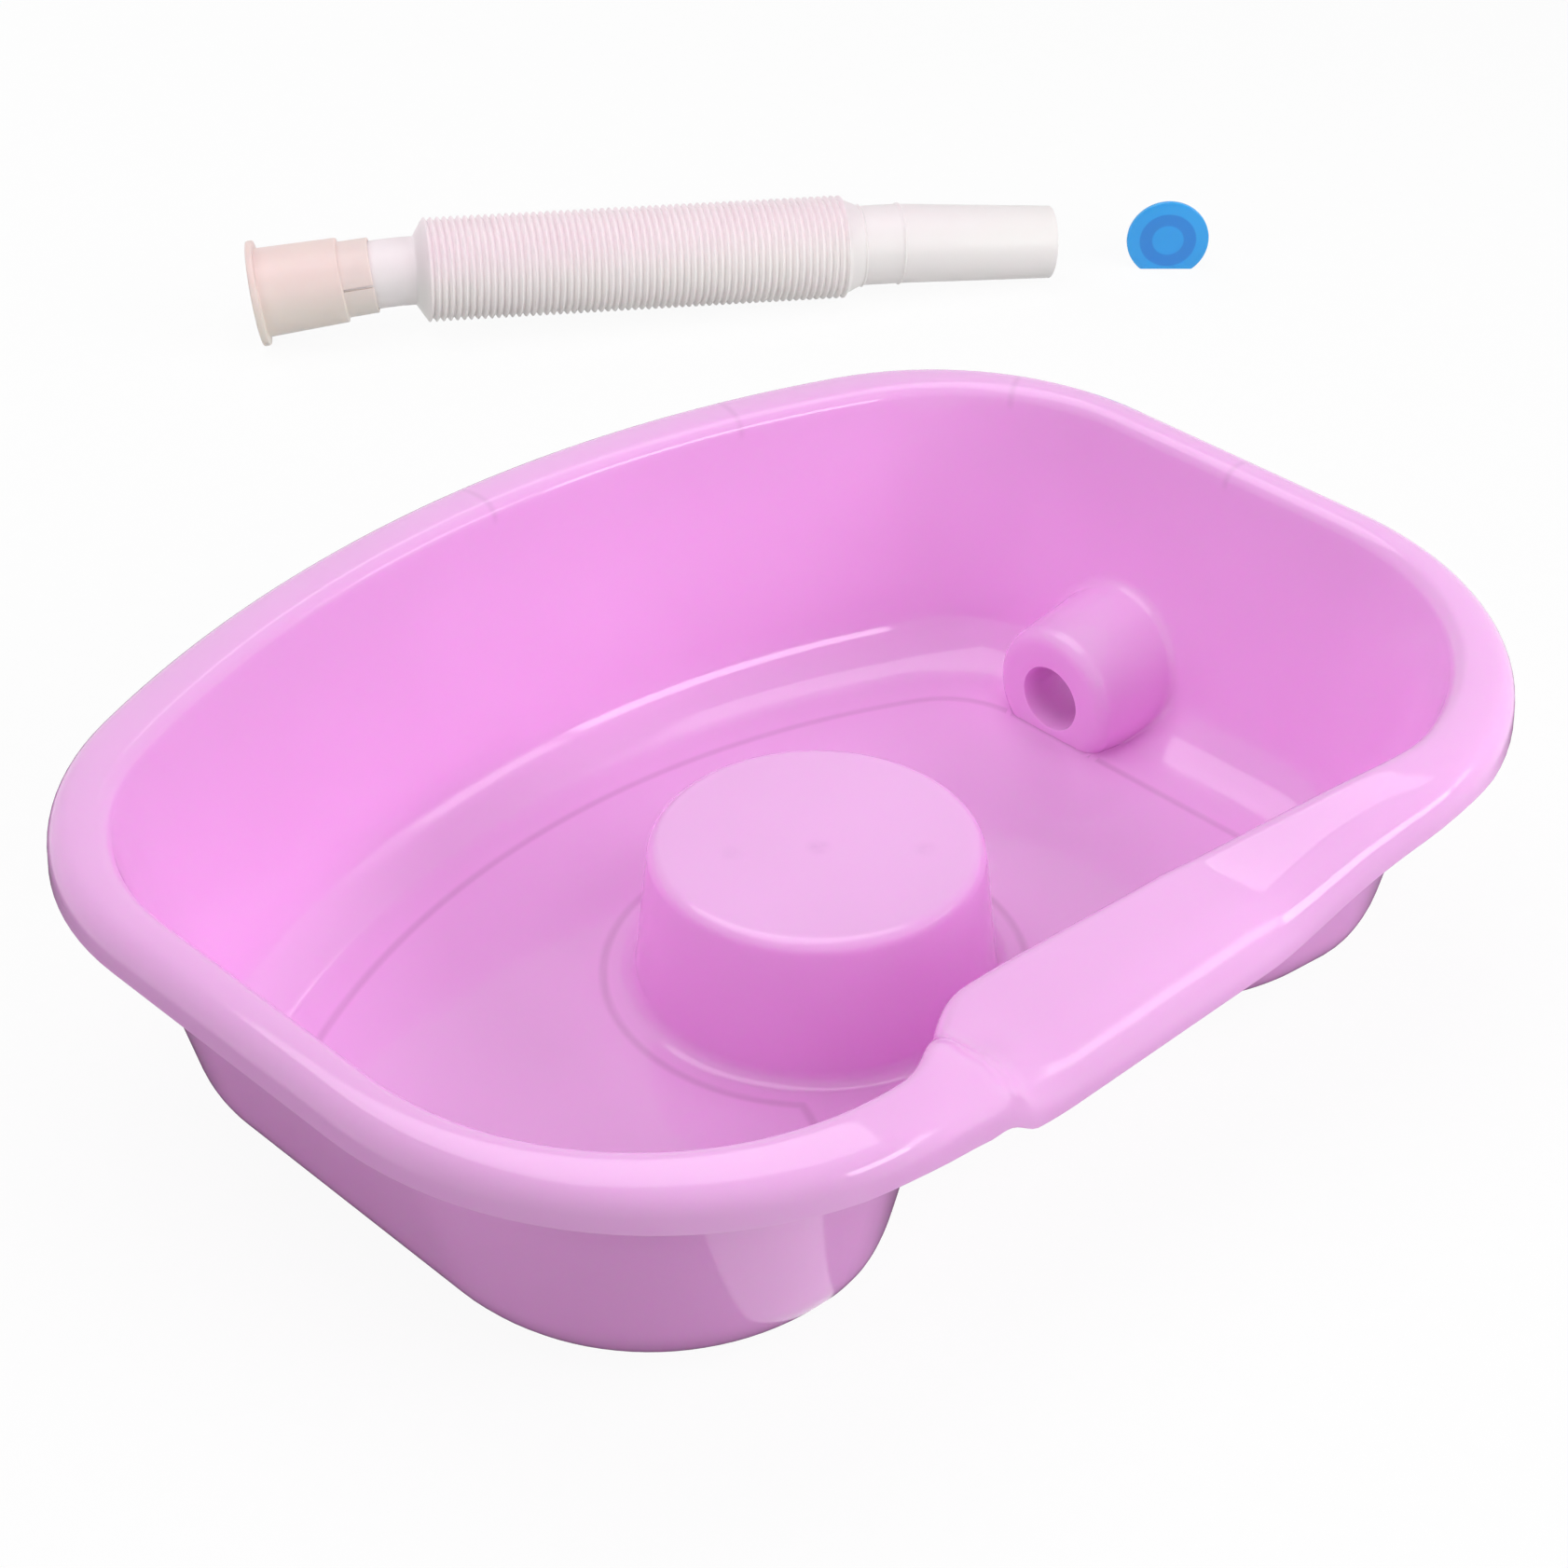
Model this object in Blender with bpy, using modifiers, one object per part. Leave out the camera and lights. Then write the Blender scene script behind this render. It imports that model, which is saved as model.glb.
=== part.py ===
# Portable shampoo basin with a neck rest, a head pedestal, a drain hose and a stopper.
# Metres, +Z up. The basin stands on its foot rib at z = 0, with the neck rest towards -Y.
# The origin is on the foot rib's underside, at the bend right behind the head pedestal.
import math

import bmesh
import bpy
from mathutils import Matrix, Vector

# Basin plan, measured from the pedestal's axis.
FLOOR_HALF_LENGTH = 0.208
FLOOR_BACK = 0.163
FLOOR_BACK_RADIUS = 0.3775
FLOOR_BACK_CORNER = 0.0565
FLOOR_FRONT = 0.125
FLOOR_FRONT_CORNER = 0.060
FLOOR_BORDER = 0.007
EDGE_HALF_LENGTH = 0.261
EDGE_BACK = 0.2105
EDGE_BACK_RADIUS = 0.482
EDGE_BACK_CORNER = 0.104
EDGE_FRONT = 0.1755
EDGE_FRONT_CORNER = 0.127
OUTER_HALF_LENGTH = 0.283
OUTER_BACK = 0.240
OUTER_BACK_RADIUS = 0.510
OUTER_BACK_CORNER = 0.133
OUTER_FRONT = 0.2065
OUTER_FRONT_CORNER = 0.155

# Basin section.
WALL = 0.0028
FOOT_HEIGHT = 0.010
RIM_HEIGHT = 0.1216
WALL_FILLET = 0.031
WALL_HEADING = math.radians(77.0)

# Rolled rim: inner arc, crown, shoulder and skirt.
RIM_INNER_ARC = 0.0075
RIM_SHOULDER = 0.011
RIM_SKIRT = 0.0065
RIM_CROWN_START = math.radians(2.0)
RIM_CROWN_END = math.radians(-10.0)
SKIRT_HEADING = math.radians(-86.0)

# Neck rest: a broad, low stretch of the front rim.
NECK_SHIFT_FROM = 0.135
NECK_SHIFT_TO = 0.060
NECK_DIP_FROM = 0.120
NECK_DIP_TO = 0.062
NECK_LIP_FROM = 0.165
NECK_LIP_TO = 0.060
NECK_FLOOR_SHIFT = 0.025
NECK_OUTER_FROM = 0.180
NECK_OUTER_TO = 0.060
NECK_EDGE_SHIFT = 0.0345
NECK_OUTER_SHIFT = 0.0125
NECK_DIP = 0.0236
NECK_INNER_ARC = 0.008
NECK_BLEND_ARC = 0.004
NECK_SHOULDER = 0.012
NECK_SKIRT = 0.006
NECK_CROWN_START = math.radians(0.0)
NECK_CROWN_END = math.radians(-22.0)

# Head pedestal.
PEDESTAL_TOP_RADIUS = 0.0690
PEDESTAL_BASE_RADIUS = 0.0745
PEDESTAL_HEIGHT = 0.0642
PEDESTAL_EDGE = 0.006
PEDESTAL_FOOT_FILLET = 0.0073
PEDESTAL_SINK = 0.0004
PEDESTAL_DRAFT = math.radians(5.0)

# Foot rib.
RIB_WIDTH = 0.0025
RIB_INSET = 0.0115
RIB_BEND_RADIUS = 0.088
RIB_LEAVE_ANGLE = math.radians(-42.0)
RIB_LEG_X = 0.072

# Drain boss, pocket and outlet spigot.
DRAIN_Y = 0.048
DRAIN_HEIGHT = 0.019
DRAIN_BORE_RADIUS = 0.0155
BOSS_FACE_X = 0.196
BOSS_FACE_RADIUS = 0.033
BOSS_BASE_RADIUS = 0.037
BOSS_EDGE = 0.0055
BOSS_DEPTH = 0.056
SPIGOT_RADIUS = 0.0188
SPIGOT_LENGTH = 0.044
SPIGOT_EDGE = 0.0008

# Hose, lying behind the basin.
HOSE_START = (0.2552, 0.5672)
HOSE_START_HEIGHT = 0.0372
HOSE_HEADING = math.radians(-33.1)
HOSE_TILT = math.radians(1.97)
NECK_BEND = math.radians(9.4)
NECK_BEND_SIDE = math.radians(-65.0)
FIT_GAP = 0.0003

FLANGE_RADIUS = 0.029
FLANGE_THICKNESS = 0.004
CONNECTOR_MOUTH_RADIUS = 0.0245
CONNECTOR_TAIL_RADIUS = 0.0225
CONNECTOR_BODY_END = 0.049
COLLAR_RADIUS = 0.02075
CONNECTOR_LENGTH = 0.066
CONNECTOR_BORE_RADIUS = 0.0191
CONNECTOR_BORE_DEPTH = 0.040
COLLAR_SLOT_WIDTH = 0.0016
COLLAR_SLOT_LENGTH = 0.0165
COLLAR_SLOT_ANGLE = math.radians(142.0)

HOSE_NECK_RADIUS = 0.01875
HOSE_NECK_BORE = 0.0172
HOSE_NECK_INSERT = 0.020
HOSE_NECK_VISIBLE = 0.027
HOSE_NECK_CONE = 0.0045

BELLOWS_LENGTH = 0.2375
BELLOWS_CREST = 0.0288
BELLOWS_ROOT = 0.0263
BELLOWS_BORE = 0.0247
RIB_COUNT = 62

TAIL_CONE = 0.0086
CUFF_LENGTH = 0.0222
CUFF_RADIUS = 0.0222
SLEEVE_LENGTH = 0.089
SLEEVE_END_RADIUS = 0.02035
TAIL_WALL = 0.0014
CUFF_RING = 0.0005

# Stopper, standing on its flat.
STOPPER_PLACE = (0.609, 0.329)
STOPPER_HEADING = math.radians(-134.2)
STOPPER_FLANGE_RADIUS = 0.0235
STOPPER_FLANGE_THICKNESS = 0.003
STOPPER_FLAT = 0.018
PLUG_ROOT_RADIUS = 0.0162
PLUG_TIP_RADIUS = 0.0148
PLUG_LENGTH = 0.017
PLUG_CORE_RADIUS = 0.009

# Facets.
FRONT_STEPS = 10
FRONT_CORNER_STEPS = 8
SIDE_STEPS = 3
BACK_CORNER_STEPS = 6
BACK_STEPS = 9
FILLET_STEPS = 6
WALL_STEPS = 3
INNER_ARC_STEPS = 4
CROWN_STEPS = 4
SHOULDER_STEPS = 5
TURNED_STEPS = 48
BORE_STEPS = 40
BORE_SPIN = math.radians(2.0)
TOP_EDGE_STEPS = 5
FOOT_FILLET_STEPS = 4
BOSS_EDGE_STEPS = 4
HOLLOW_EDGE_STEPS = 3
BEND_STEPS = 14
NECK_STEPS = 4
TUBE_RESOLUTION = 4
RIB_RESOLUTION = 2
FRONT_SPACING = 1.6

# Distances within which points are one point.
SEAM_DISTANCE = 0.00001
WELD_DISTANCE = 0.000001


def clear_scene():
    for obj in list(bpy.data.objects):
        bpy.data.objects.remove(obj, do_unlink=True)


def new_collection(name):
    found = bpy.data.collections.new(name)
    bpy.context.scene.collection.children.link(found)
    return found


def new_material(name, colour, roughness, metallic):
    material = bpy.data.materials.new(name)
    material.use_nodes = True
    shader = material.node_tree.nodes["Principled BSDF"]
    shader.inputs["Base Color"].default_value = (colour[0], colour[1], colour[2], 1.0)
    shader.inputs["Roughness"].default_value = roughness
    shader.inputs["Metallic"].default_value = metallic
    return material


def arc_turn(start, heading, end_heading, radius, steps):
    # Points of a clockwise arc that leaves start along heading, without start itself.
    points = []
    for step in range(1, steps + 1):
        now = heading + (end_heading - heading) * step / steps
        along = radius * (math.sin(heading) - math.sin(now))
        up = radius * (math.cos(now) - math.cos(heading))
        points.append((start[0] + along, start[1] + up))
    return points


def outline(half_length, back, back_radius, back_corner, front, front_corner):
    # Right half of a plan outline from the front's middle to the back's middle.
    points = []
    straight = half_length - front_corner
    for step in range(FRONT_STEPS):
        share = 1 - (1 - step / FRONT_STEPS) ** FRONT_SPACING
        points.append((straight * share, -front))
    for step in range(FRONT_CORNER_STEPS):
        angle = math.pi / 2 * step / FRONT_CORNER_STEPS
        x = straight + front_corner * math.sin(angle)
        points.append((x, -front + front_corner * (1 - math.cos(angle))))
    reach = back_radius - back_corner
    corner_x = half_length - back_corner
    corner_y = back - back_radius + math.sqrt(reach * reach - corner_x * corner_x)
    side_start = -front + front_corner
    for step in range(SIDE_STEPS):
        points.append((half_length, side_start + (corner_y - side_start) * step / SIDE_STEPS))
    sweep = math.atan2(corner_y - back + back_radius, corner_x)
    for step in range(BACK_CORNER_STEPS):
        angle = sweep * step / BACK_CORNER_STEPS
        x = corner_x + back_corner * math.cos(angle)
        points.append((x, corner_y + back_corner * math.sin(angle)))
    for step in range(BACK_STEPS + 1):
        angle = sweep + (math.pi / 2 - sweep) * step / BACK_STEPS
        x = back_radius * math.cos(angle)
        points.append((x, back - back_radius + back_radius * math.sin(angle)))
    return points


def whole_outline(half):
    # The right half and its mirror image, as one closed ring.
    left = [(-x, y) for x, y in half[1:-1]]
    return half + left[::-1]


def smooth(value):
    held = min(1.0, max(0.0, value))
    return held * held * (3 - 2 * held)


def neck_weight(x, y, start, end):
    # One in the neck rest, zero on the plain rim.
    if y > 0:
        return 0.0
    return smooth((start - abs(x)) / (start - end))


def mix(first, second, weight):
    return first + (second - first) * weight


def wall_profile():
    # Shares of the way out and heights from the flat floor's edge to the rim's inner edge.
    points = [(0.0, 0.0)]
    for step in range(1, FILLET_STEPS + 1):
        angle = WALL_HEADING * step / FILLET_STEPS
        points.append((WALL_FILLET * math.sin(angle), WALL_FILLET * (1 - math.cos(angle))))
    start = points[-1]
    for step in range(1, WALL_STEPS + 1):
        rise = (RIM_HEIGHT - start[1]) * step / WALL_STEPS
        points.append((start[0] + rise / math.tan(WALL_HEADING), start[1] + rise))
    width = points[-1][0]
    return [(out / width, height / RIM_HEIGHT) for out, height in points]


def rim_profile(weight, reach):
    # Way outwards and up from the inner edge, mixed between the plain rim and the neck rest.
    inner = mix(RIM_INNER_ARC, NECK_INNER_ARC, weight) + NECK_BLEND_ARC * weight * (1 - weight) * 4
    shoulder = mix(RIM_SHOULDER, NECK_SHOULDER, weight)
    skirt = mix(RIM_SKIRT, NECK_SKIRT, weight)
    first = mix(RIM_CROWN_START, NECK_CROWN_START, weight)
    second = mix(RIM_CROWN_END, NECK_CROWN_END, weight)
    taken = inner * (math.sin(WALL_HEADING) - math.sin(first))
    taken += shoulder * (math.sin(second) - math.sin(SKIRT_HEADING)) + skirt * math.cos(SKIRT_HEADING)
    crown = (reach - taken) / (math.sin(first) - math.sin(second))
    points = arc_turn((0.0, 0.0), WALL_HEADING, first, inner, INNER_ARC_STEPS)
    points += arc_turn(points[-1], first, second, crown, CROWN_STEPS)
    points += arc_turn(points[-1], second, SKIRT_HEADING, shoulder, SHOULDER_STEPS)
    end = points[-1]
    points.append((end[0] + skirt * math.cos(SKIRT_HEADING), end[1] + skirt * math.sin(SKIRT_HEADING)))
    return points


def ring_normals(ring):
    # Outward directions in plan of a closed counter-clockwise ring.
    normals = []
    for index, point in enumerate(ring):
        before = ring[index - 1]
        after = ring[(index + 1) % len(ring)]
        along = Vector((after[0] - before[0], after[1] - before[1])).normalized()
        normals.append((along.y, -along.x))
    return normals


def floor_ring():
    return whole_outline(outline(FLOOR_HALF_LENGTH, FLOOR_BACK, FLOOR_BACK_RADIUS, FLOOR_BACK_CORNER,
                                 FLOOR_FRONT, FLOOR_FRONT_CORNER))


def edge_ring():
    return whole_outline(outline(EDGE_HALF_LENGTH, EDGE_BACK, EDGE_BACK_RADIUS, EDGE_BACK_CORNER,
                                 EDGE_FRONT, EDGE_FRONT_CORNER))


def outer_ring():
    return whole_outline(outline(OUTER_HALF_LENGTH, OUTER_BACK, OUTER_BACK_RADIUS, OUTER_BACK_CORNER,
                                 OUTER_FRONT, OUTER_FRONT_CORNER))


def widened(ring, amount):
    return [(x + nx * amount, y + ny * amount) for (x, y), (nx, ny) in zip(ring, ring_normals(ring))]


def bowl_filling(cutters):
    # The bowl's inside as a solid that reaches half-way into its wall, without the neck rest.
    half = WALL / 2
    floor = widened(floor_ring(), half)
    edge = widened(edge_ring(), half)
    rows = []
    for share, height_share in wall_profile():
        height = RIM_HEIGHT * height_share - half
        rows.append([(mix(low[0], high[0], share), mix(low[1], high[1], share), height)
                     for low, high in zip(floor, edge)])
    vertices, faces = skin(rows)
    faces.append(tuple(reversed([len(vertices) - len(edge) + index for index in range(len(edge))])))
    return mesh_object("bowl_filling", vertices, [tuple(reversed(face)) for face in faces], cutters)


def skin(rows):
    # Vertices and faces of a stack of rings, closed by one face across the first ring.
    count = len(rows[0])
    vertices = [point for row in rows for point in row]
    faces = [tuple(range(count))]
    for level in range(len(rows) - 1):
        for index in range(count):
            after = (index + 1) % count
            low = level * count
            high = low + count
            faces.append((low + index, high + index, high + after, low + after))
    return vertices, faces


def moved_in(ring, start, end, amount):
    # The ring with its neck-rest stretch moved towards +Y.
    return [(x, y + amount * neck_weight(x, y, start, end)) for x, y in ring]


def basin_surface():
    # Rows of points of the basin's upper surface, from the floor's border to the skirt's end.
    floor = moved_in(floor_ring(), NECK_SHIFT_FROM, NECK_SHIFT_TO, NECK_FLOOR_SHIFT)
    edge = moved_in(edge_ring(), NECK_SHIFT_FROM, NECK_SHIFT_TO, NECK_EDGE_SHIFT)
    outer = moved_in(outer_ring(), NECK_OUTER_FROM, NECK_OUTER_TO, NECK_OUTER_SHIFT)
    dips = [neck_weight(x, y, NECK_DIP_FROM, NECK_DIP_TO) for x, y in edge]
    lip_dips = [neck_weight(x, y, NECK_LIP_FROM, NECK_LIP_TO) for x, y in outer]
    heights = [RIM_HEIGHT - NECK_DIP * weight for weight in dips]
    rows = [[(x, y, 0.0) for x, y in widened(floor, -FLOOR_BORDER)]]
    for share, height_share in wall_profile():
        row = []
        for low, high, top in zip(floor, edge, heights):
            row.append((mix(low[0], high[0], share), mix(low[1], high[1], share), top * height_share))
        rows.append(row)
    ways = [Vector(far) - Vector(near) for near, far in zip(edge, outer)]
    sections = [rim_profile(weight, way.length) for weight, way in zip(dips, ways)]
    for step in range(len(sections[0])):
        row = []
        for near, dip, lip_dip, way, section in zip(edge, dips, lip_dips, ways, sections):
            out, up = section[step]
            share = out / way.length
            top = RIM_HEIGHT - NECK_DIP * mix(dip, lip_dip, share)
            row.append((near[0] + way.x * share, near[1] + way.y * share, top + up))
        rows.append(row)
    return floor, rows


def mesh_object(name, vertices, faces, collection):
    mesh = bpy.data.meshes.new(name)
    mesh.from_pydata(vertices, [], faces)
    mesh.update()
    obj = bpy.data.objects.new(name, mesh)
    collection.objects.link(obj)
    return obj


def shell_object(name, collection):
    floor, rows = basin_surface()
    vertices, faces = skin(rows)
    obj = mesh_object(name, vertices, faces, collection)
    solid = obj.modifiers.new("Wall", "SOLIDIFY")
    solid.thickness = WALL
    solid.offset = -1.0
    solid.use_even_offset = True
    solid.use_quality_normals = True
    return obj, floor


def turned(name, profile, collection, steps=TURNED_STEPS):
    # A closed turned body from (radius, height) points that run down the outer side.
    vertices = [(radius, 0.0, height) for radius, height in profile]
    count = len(profile)
    edges = [(index, index + 1) for index in range(count - 1)]
    if profile[0][0] > 0:
        edges.append((count - 1, 0))
    mesh = bpy.data.meshes.new(name)
    mesh.from_pydata(vertices, edges, [])
    obj = bpy.data.objects.new(name, mesh)
    collection.objects.link(obj)
    screw = obj.modifiers.new("Turn", "SCREW")
    screw.steps = steps
    screw.render_steps = steps
    screw.use_merge_vertices = True
    screw.merge_threshold = SEAM_DISTANCE
    screw.use_normal_calculate = False
    screw.use_smooth_shade = True
    return obj


def box(name, low, high, collection):
    corners = [(x, y, z) for z in (low[2], high[2]) for y in (low[1], high[1]) for x in (low[0], high[0])]
    faces = [(0, 2, 3, 1), (4, 5, 7, 6), (0, 1, 5, 4), (2, 6, 7, 3), (0, 4, 6, 2), (1, 3, 7, 5)]
    return mesh_object(name, corners, faces, collection)


def cutter_look(obj):
    obj.hide_render = True
    obj.display_type = "WIRE"


def boolean(obj, other, operation):
    step = obj.modifiers.new(operation.title(), "BOOLEAN")
    step.solver = "EXACT"
    step.operation = operation
    step.object = other
    cutter_look(other)


def arc_points(centre, radius, start, end, steps):
    points = []
    for step in range(steps + 1):
        angle = start + (end - start) * step / steps
        points.append((centre[0] + radius * math.cos(angle), centre[1] + radius * math.sin(angle)))
    return points


def pedestal_body(cutters):
    # Solid pedestal with a rounded top edge and a fillet at its foot.
    top = PEDESTAL_HEIGHT
    edge = arc_points((PEDESTAL_TOP_RADIUS - PEDESTAL_EDGE, top - PEDESTAL_EDGE), PEDESTAL_EDGE,
                      math.pi / 2, PEDESTAL_DRAFT, TOP_EDGE_STEPS)
    centre = (PEDESTAL_BASE_RADIUS + PEDESTAL_FOOT_FILLET, PEDESTAL_FOOT_FILLET - PEDESTAL_SINK)
    fillet = arc_points(centre, PEDESTAL_FOOT_FILLET, math.pi + PEDESTAL_DRAFT, math.pi * 3 / 2,
                        FOOT_FILLET_STEPS)
    low = -WALL / 2
    profile = [(0.0, top)] + edge + fillet + [(centre[0], low), (0.0, low)]
    return turned("pedestal_body", profile, cutters)


def pedestal_hollow(cutters):
    top = PEDESTAL_HEIGHT - WALL
    corner = PEDESTAL_EDGE - WALL
    edge = arc_points((PEDESTAL_TOP_RADIUS - PEDESTAL_EDGE, top - corner), corner,
                      math.pi / 2, PEDESTAL_DRAFT, HOLLOW_EDGE_STEPS)
    low = -FOOT_HEIGHT - WALL
    base = PEDESTAL_BASE_RADIUS - WALL
    flare = PEDESTAL_BASE_RADIUS + PEDESTAL_FOOT_FILLET / 2 - WALL
    step = -WALL * 3 / 2
    profile = [(0.0, top)] + edge + [(base, PEDESTAL_FOOT_FILLET), (flare, step), (flare, low), (0.0, low)]
    return turned("pedestal_hollow", profile, cutters)


def lay_along_x(obj, spin):
    # Turns a turned body's own +Z to -X, which is the way the boss faces.
    place = Matrix.Translation((BOSS_FACE_X, DRAIN_Y, DRAIN_HEIGHT))
    obj.matrix_world = place @ Matrix.Rotation(-math.pi / 2, 4, "Y") @ Matrix.Rotation(spin, 4, "Z")


def boss_body(cutters):
    edge = arc_points((BOSS_FACE_RADIUS - BOSS_EDGE, -BOSS_EDGE), BOSS_EDGE, math.pi / 2, 0.0,
                      BOSS_EDGE_STEPS)
    profile = [(0.0, 0.0)] + edge + [(BOSS_BASE_RADIUS, -BOSS_DEPTH), (0.0, -BOSS_DEPTH)]
    obj = turned("boss_body", profile, cutters)
    lay_along_x(obj, 0.0)
    return obj


def boss_pocket(cutters):
    corner = BOSS_EDGE - WALL
    edge = arc_points((BOSS_FACE_RADIUS - BOSS_EDGE, -WALL - corner), corner, math.pi / 2, 0.0,
                      HOLLOW_EDGE_STEPS)
    deep = BOSS_DEPTH + WALL
    profile = [(0.0, -WALL)] + edge + [(BOSS_BASE_RADIUS - WALL, -deep), (0.0, -deep)]
    obj = turned("boss_pocket", profile, cutters)
    lay_along_x(obj, 0.0)
    return obj


def drain_bore(cutters):
    front = WALL * 2
    back = -SPIGOT_LENGTH - WALL * 2
    profile = [(0.0, front), (DRAIN_BORE_RADIUS, front), (DRAIN_BORE_RADIUS, back), (0.0, back)]
    obj = turned("drain_bore", profile, cutters, BORE_STEPS)
    lay_along_x(obj, BORE_SPIN)
    return obj


def spigot(cutters):
    start = -WALL / 2
    tip = -SPIGOT_LENGTH
    profile = [(0.0, start), (SPIGOT_RADIUS, start), (SPIGOT_RADIUS, tip + SPIGOT_EDGE)]
    profile += [(SPIGOT_RADIUS - SPIGOT_EDGE, tip), (0.0, tip)]
    obj = turned("spigot", profile, cutters, BORE_STEPS)
    lay_along_x(obj, BORE_SPIN)
    return obj


def rib_path(floor):
    # Closed plan path: round the pedestal, out along a leg, and round the floor's edge.
    bend = arc_points((0.0, 0.0), RIB_BEND_RADIUS, math.pi / 2, RIB_LEAVE_ANGLE, BEND_STEPS)
    loop = widened(floor, -RIB_INSET)
    half = len(loop) // 2
    right = [point for point in loop[:half + 1] if point[0] > RIB_LEG_X or point[1] > 0]
    joint = (RIB_LEG_X, (bend[-1][1] + right[0][1]) / 2)
    side = bend + [joint] + right
    left = [(-x, y) for x, y in side[1:-1]]
    return side + left[::-1]


def foot_rib(floor, cutters):
    path = rib_path(floor)
    count = len(path)
    top = -WALL / 2
    vertices = [(x, y, -FOOT_HEIGHT) for x, y in path] + [(x, y, top) for x, y in path]
    faces = []
    for index in range(count):
        after = (index + 1) % count
        faces.append((index, after, count + after, count + index))
    obj = mesh_object("foot_rib", vertices, faces, cutters)
    solid = obj.modifiers.new("Width", "SOLIDIFY")
    solid.thickness = RIB_WIDTH
    solid.offset = 0.0
    solid.use_even_offset = True
    return obj


def make_basin(parts, cutters, material):
    obj, floor = shell_object("basin", parts)
    boss = boss_body(cutters)
    boolean(boss, bowl_filling(cutters), "INTERSECT")
    boolean(obj, foot_rib(floor, cutters), "UNION")
    boolean(obj, pedestal_body(cutters), "UNION")
    boolean(obj, boss, "UNION")
    boolean(obj, boss_pocket(cutters), "DIFFERENCE")
    boolean(obj, pedestal_hollow(cutters), "DIFFERENCE")
    boolean(obj, spigot(cutters), "UNION")
    boolean(obj, drain_bore(cutters), "DIFFERENCE")
    shift = Vector((0.0, -RIB_BEND_RADIUS, FOOT_HEIGHT))
    for item in [obj] + list(cutters.objects):
        item.matrix_world = Matrix.Translation(shift) @ item.matrix_world
    finish(obj, material)
    return obj


def finish(obj, material):
    obj.data.materials.append(material)
    for face in obj.data.polygons:
        face.use_smooth = True


def curve_mesh(name, points, radii, resolution, collection):
    # A bevelled curve through points, turned into a closed mesh.
    curve = bpy.data.curves.new(name, "CURVE")
    curve.dimensions = "3D"
    curve.bevel_depth = 1.0
    curve.bevel_resolution = resolution
    curve.use_fill_caps = True
    curve.twist_mode = "Z_UP"
    spline = curve.splines.new("POLY")
    spline.points.add(len(points) - 1)
    for item, point, radius in zip(spline.points, points, radii):
        item.co = (point[0], point[1], point[2], 1.0)
        item.radius = radius
    helper = bpy.data.objects.new(name + "_curve", curve)
    collection.objects.link(helper)
    bpy.context.view_layer.update()
    graph = bpy.context.evaluated_depsgraph_get()
    mesh = bpy.data.meshes.new_from_object(helper.evaluated_get(graph))
    mesh.name = name
    obj = bpy.data.objects.new(name, mesh)
    obj.matrix_world = helper.matrix_world
    bpy.data.objects.remove(helper, do_unlink=True)
    collection.objects.link(obj)
    work = bmesh.new()
    work.from_mesh(mesh)
    bmesh.ops.remove_doubles(work, verts=work.verts, dist=WELD_DISTANCE)
    bmesh.ops.recalc_face_normals(work, faces=work.faces)
    work.to_mesh(mesh)
    work.free()
    return obj


def tube(name, points, radii, bore_radii, resolution, parts, cutters, frame, material):
    # An outer tube with a plainer bore cut right through it.
    obj = curve_mesh(name, points, radii, resolution, parts)
    first = points[0] + (points[0] - points[1]).normalized() * HOSE_NECK_INSERT
    last = points[-1] + (points[-1] - points[-2]).normalized() * HOSE_NECK_INSERT
    bore_points = [first] + [point for point, radius in zip(points, bore_radii) if radius] + [last]
    kept = [radius for radius in bore_radii if radius]
    bore = curve_mesh(name + "_bore", bore_points, [kept[0]] + kept + [kept[-1]], resolution, cutters)
    boolean(obj, bore, "DIFFERENCE")
    obj.matrix_world = frame @ obj.matrix_world
    bore.matrix_world = frame @ bore.matrix_world
    finish(obj, material)
    return obj


def hose_frame():
    # Own +X runs along the bellows, from its connector end.
    place = Matrix.Translation((HOSE_START[0], HOSE_START[1] - RIB_BEND_RADIUS, HOSE_START_HEIGHT))
    return place @ Matrix.Rotation(HOSE_HEADING, 4, "Z") @ Matrix.Rotation(HOSE_TILT, 4, "Y")


def neck_frame():
    # The hose's frame, rolled so that its own XY plane holds the neck's bend.
    return hose_frame() @ Matrix.Rotation(NECK_BEND_SIDE, 4, "X")


def neck_path():
    # Points from the bellows back to the end inside the collar, in the neck's frame.
    points = [Vector((-FIT_GAP, 0.0, 0.0)), Vector((-FIT_GAP - HOSE_NECK_CONE, 0.0, 0.0))]
    radius = (HOSE_NECK_VISIBLE - HOSE_NECK_CONE) / NECK_BEND
    start = points[-1]
    for step in range(1, NECK_STEPS + 1):
        angle = NECK_BEND * step / NECK_STEPS
        points.append(start + Vector((-radius * math.sin(angle), radius * (1 - math.cos(angle)), 0.0)))
    heading = Vector((-math.cos(NECK_BEND), math.sin(NECK_BEND), 0.0))
    points.append(points[-1] + heading * HOSE_NECK_INSERT)
    return points


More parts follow.
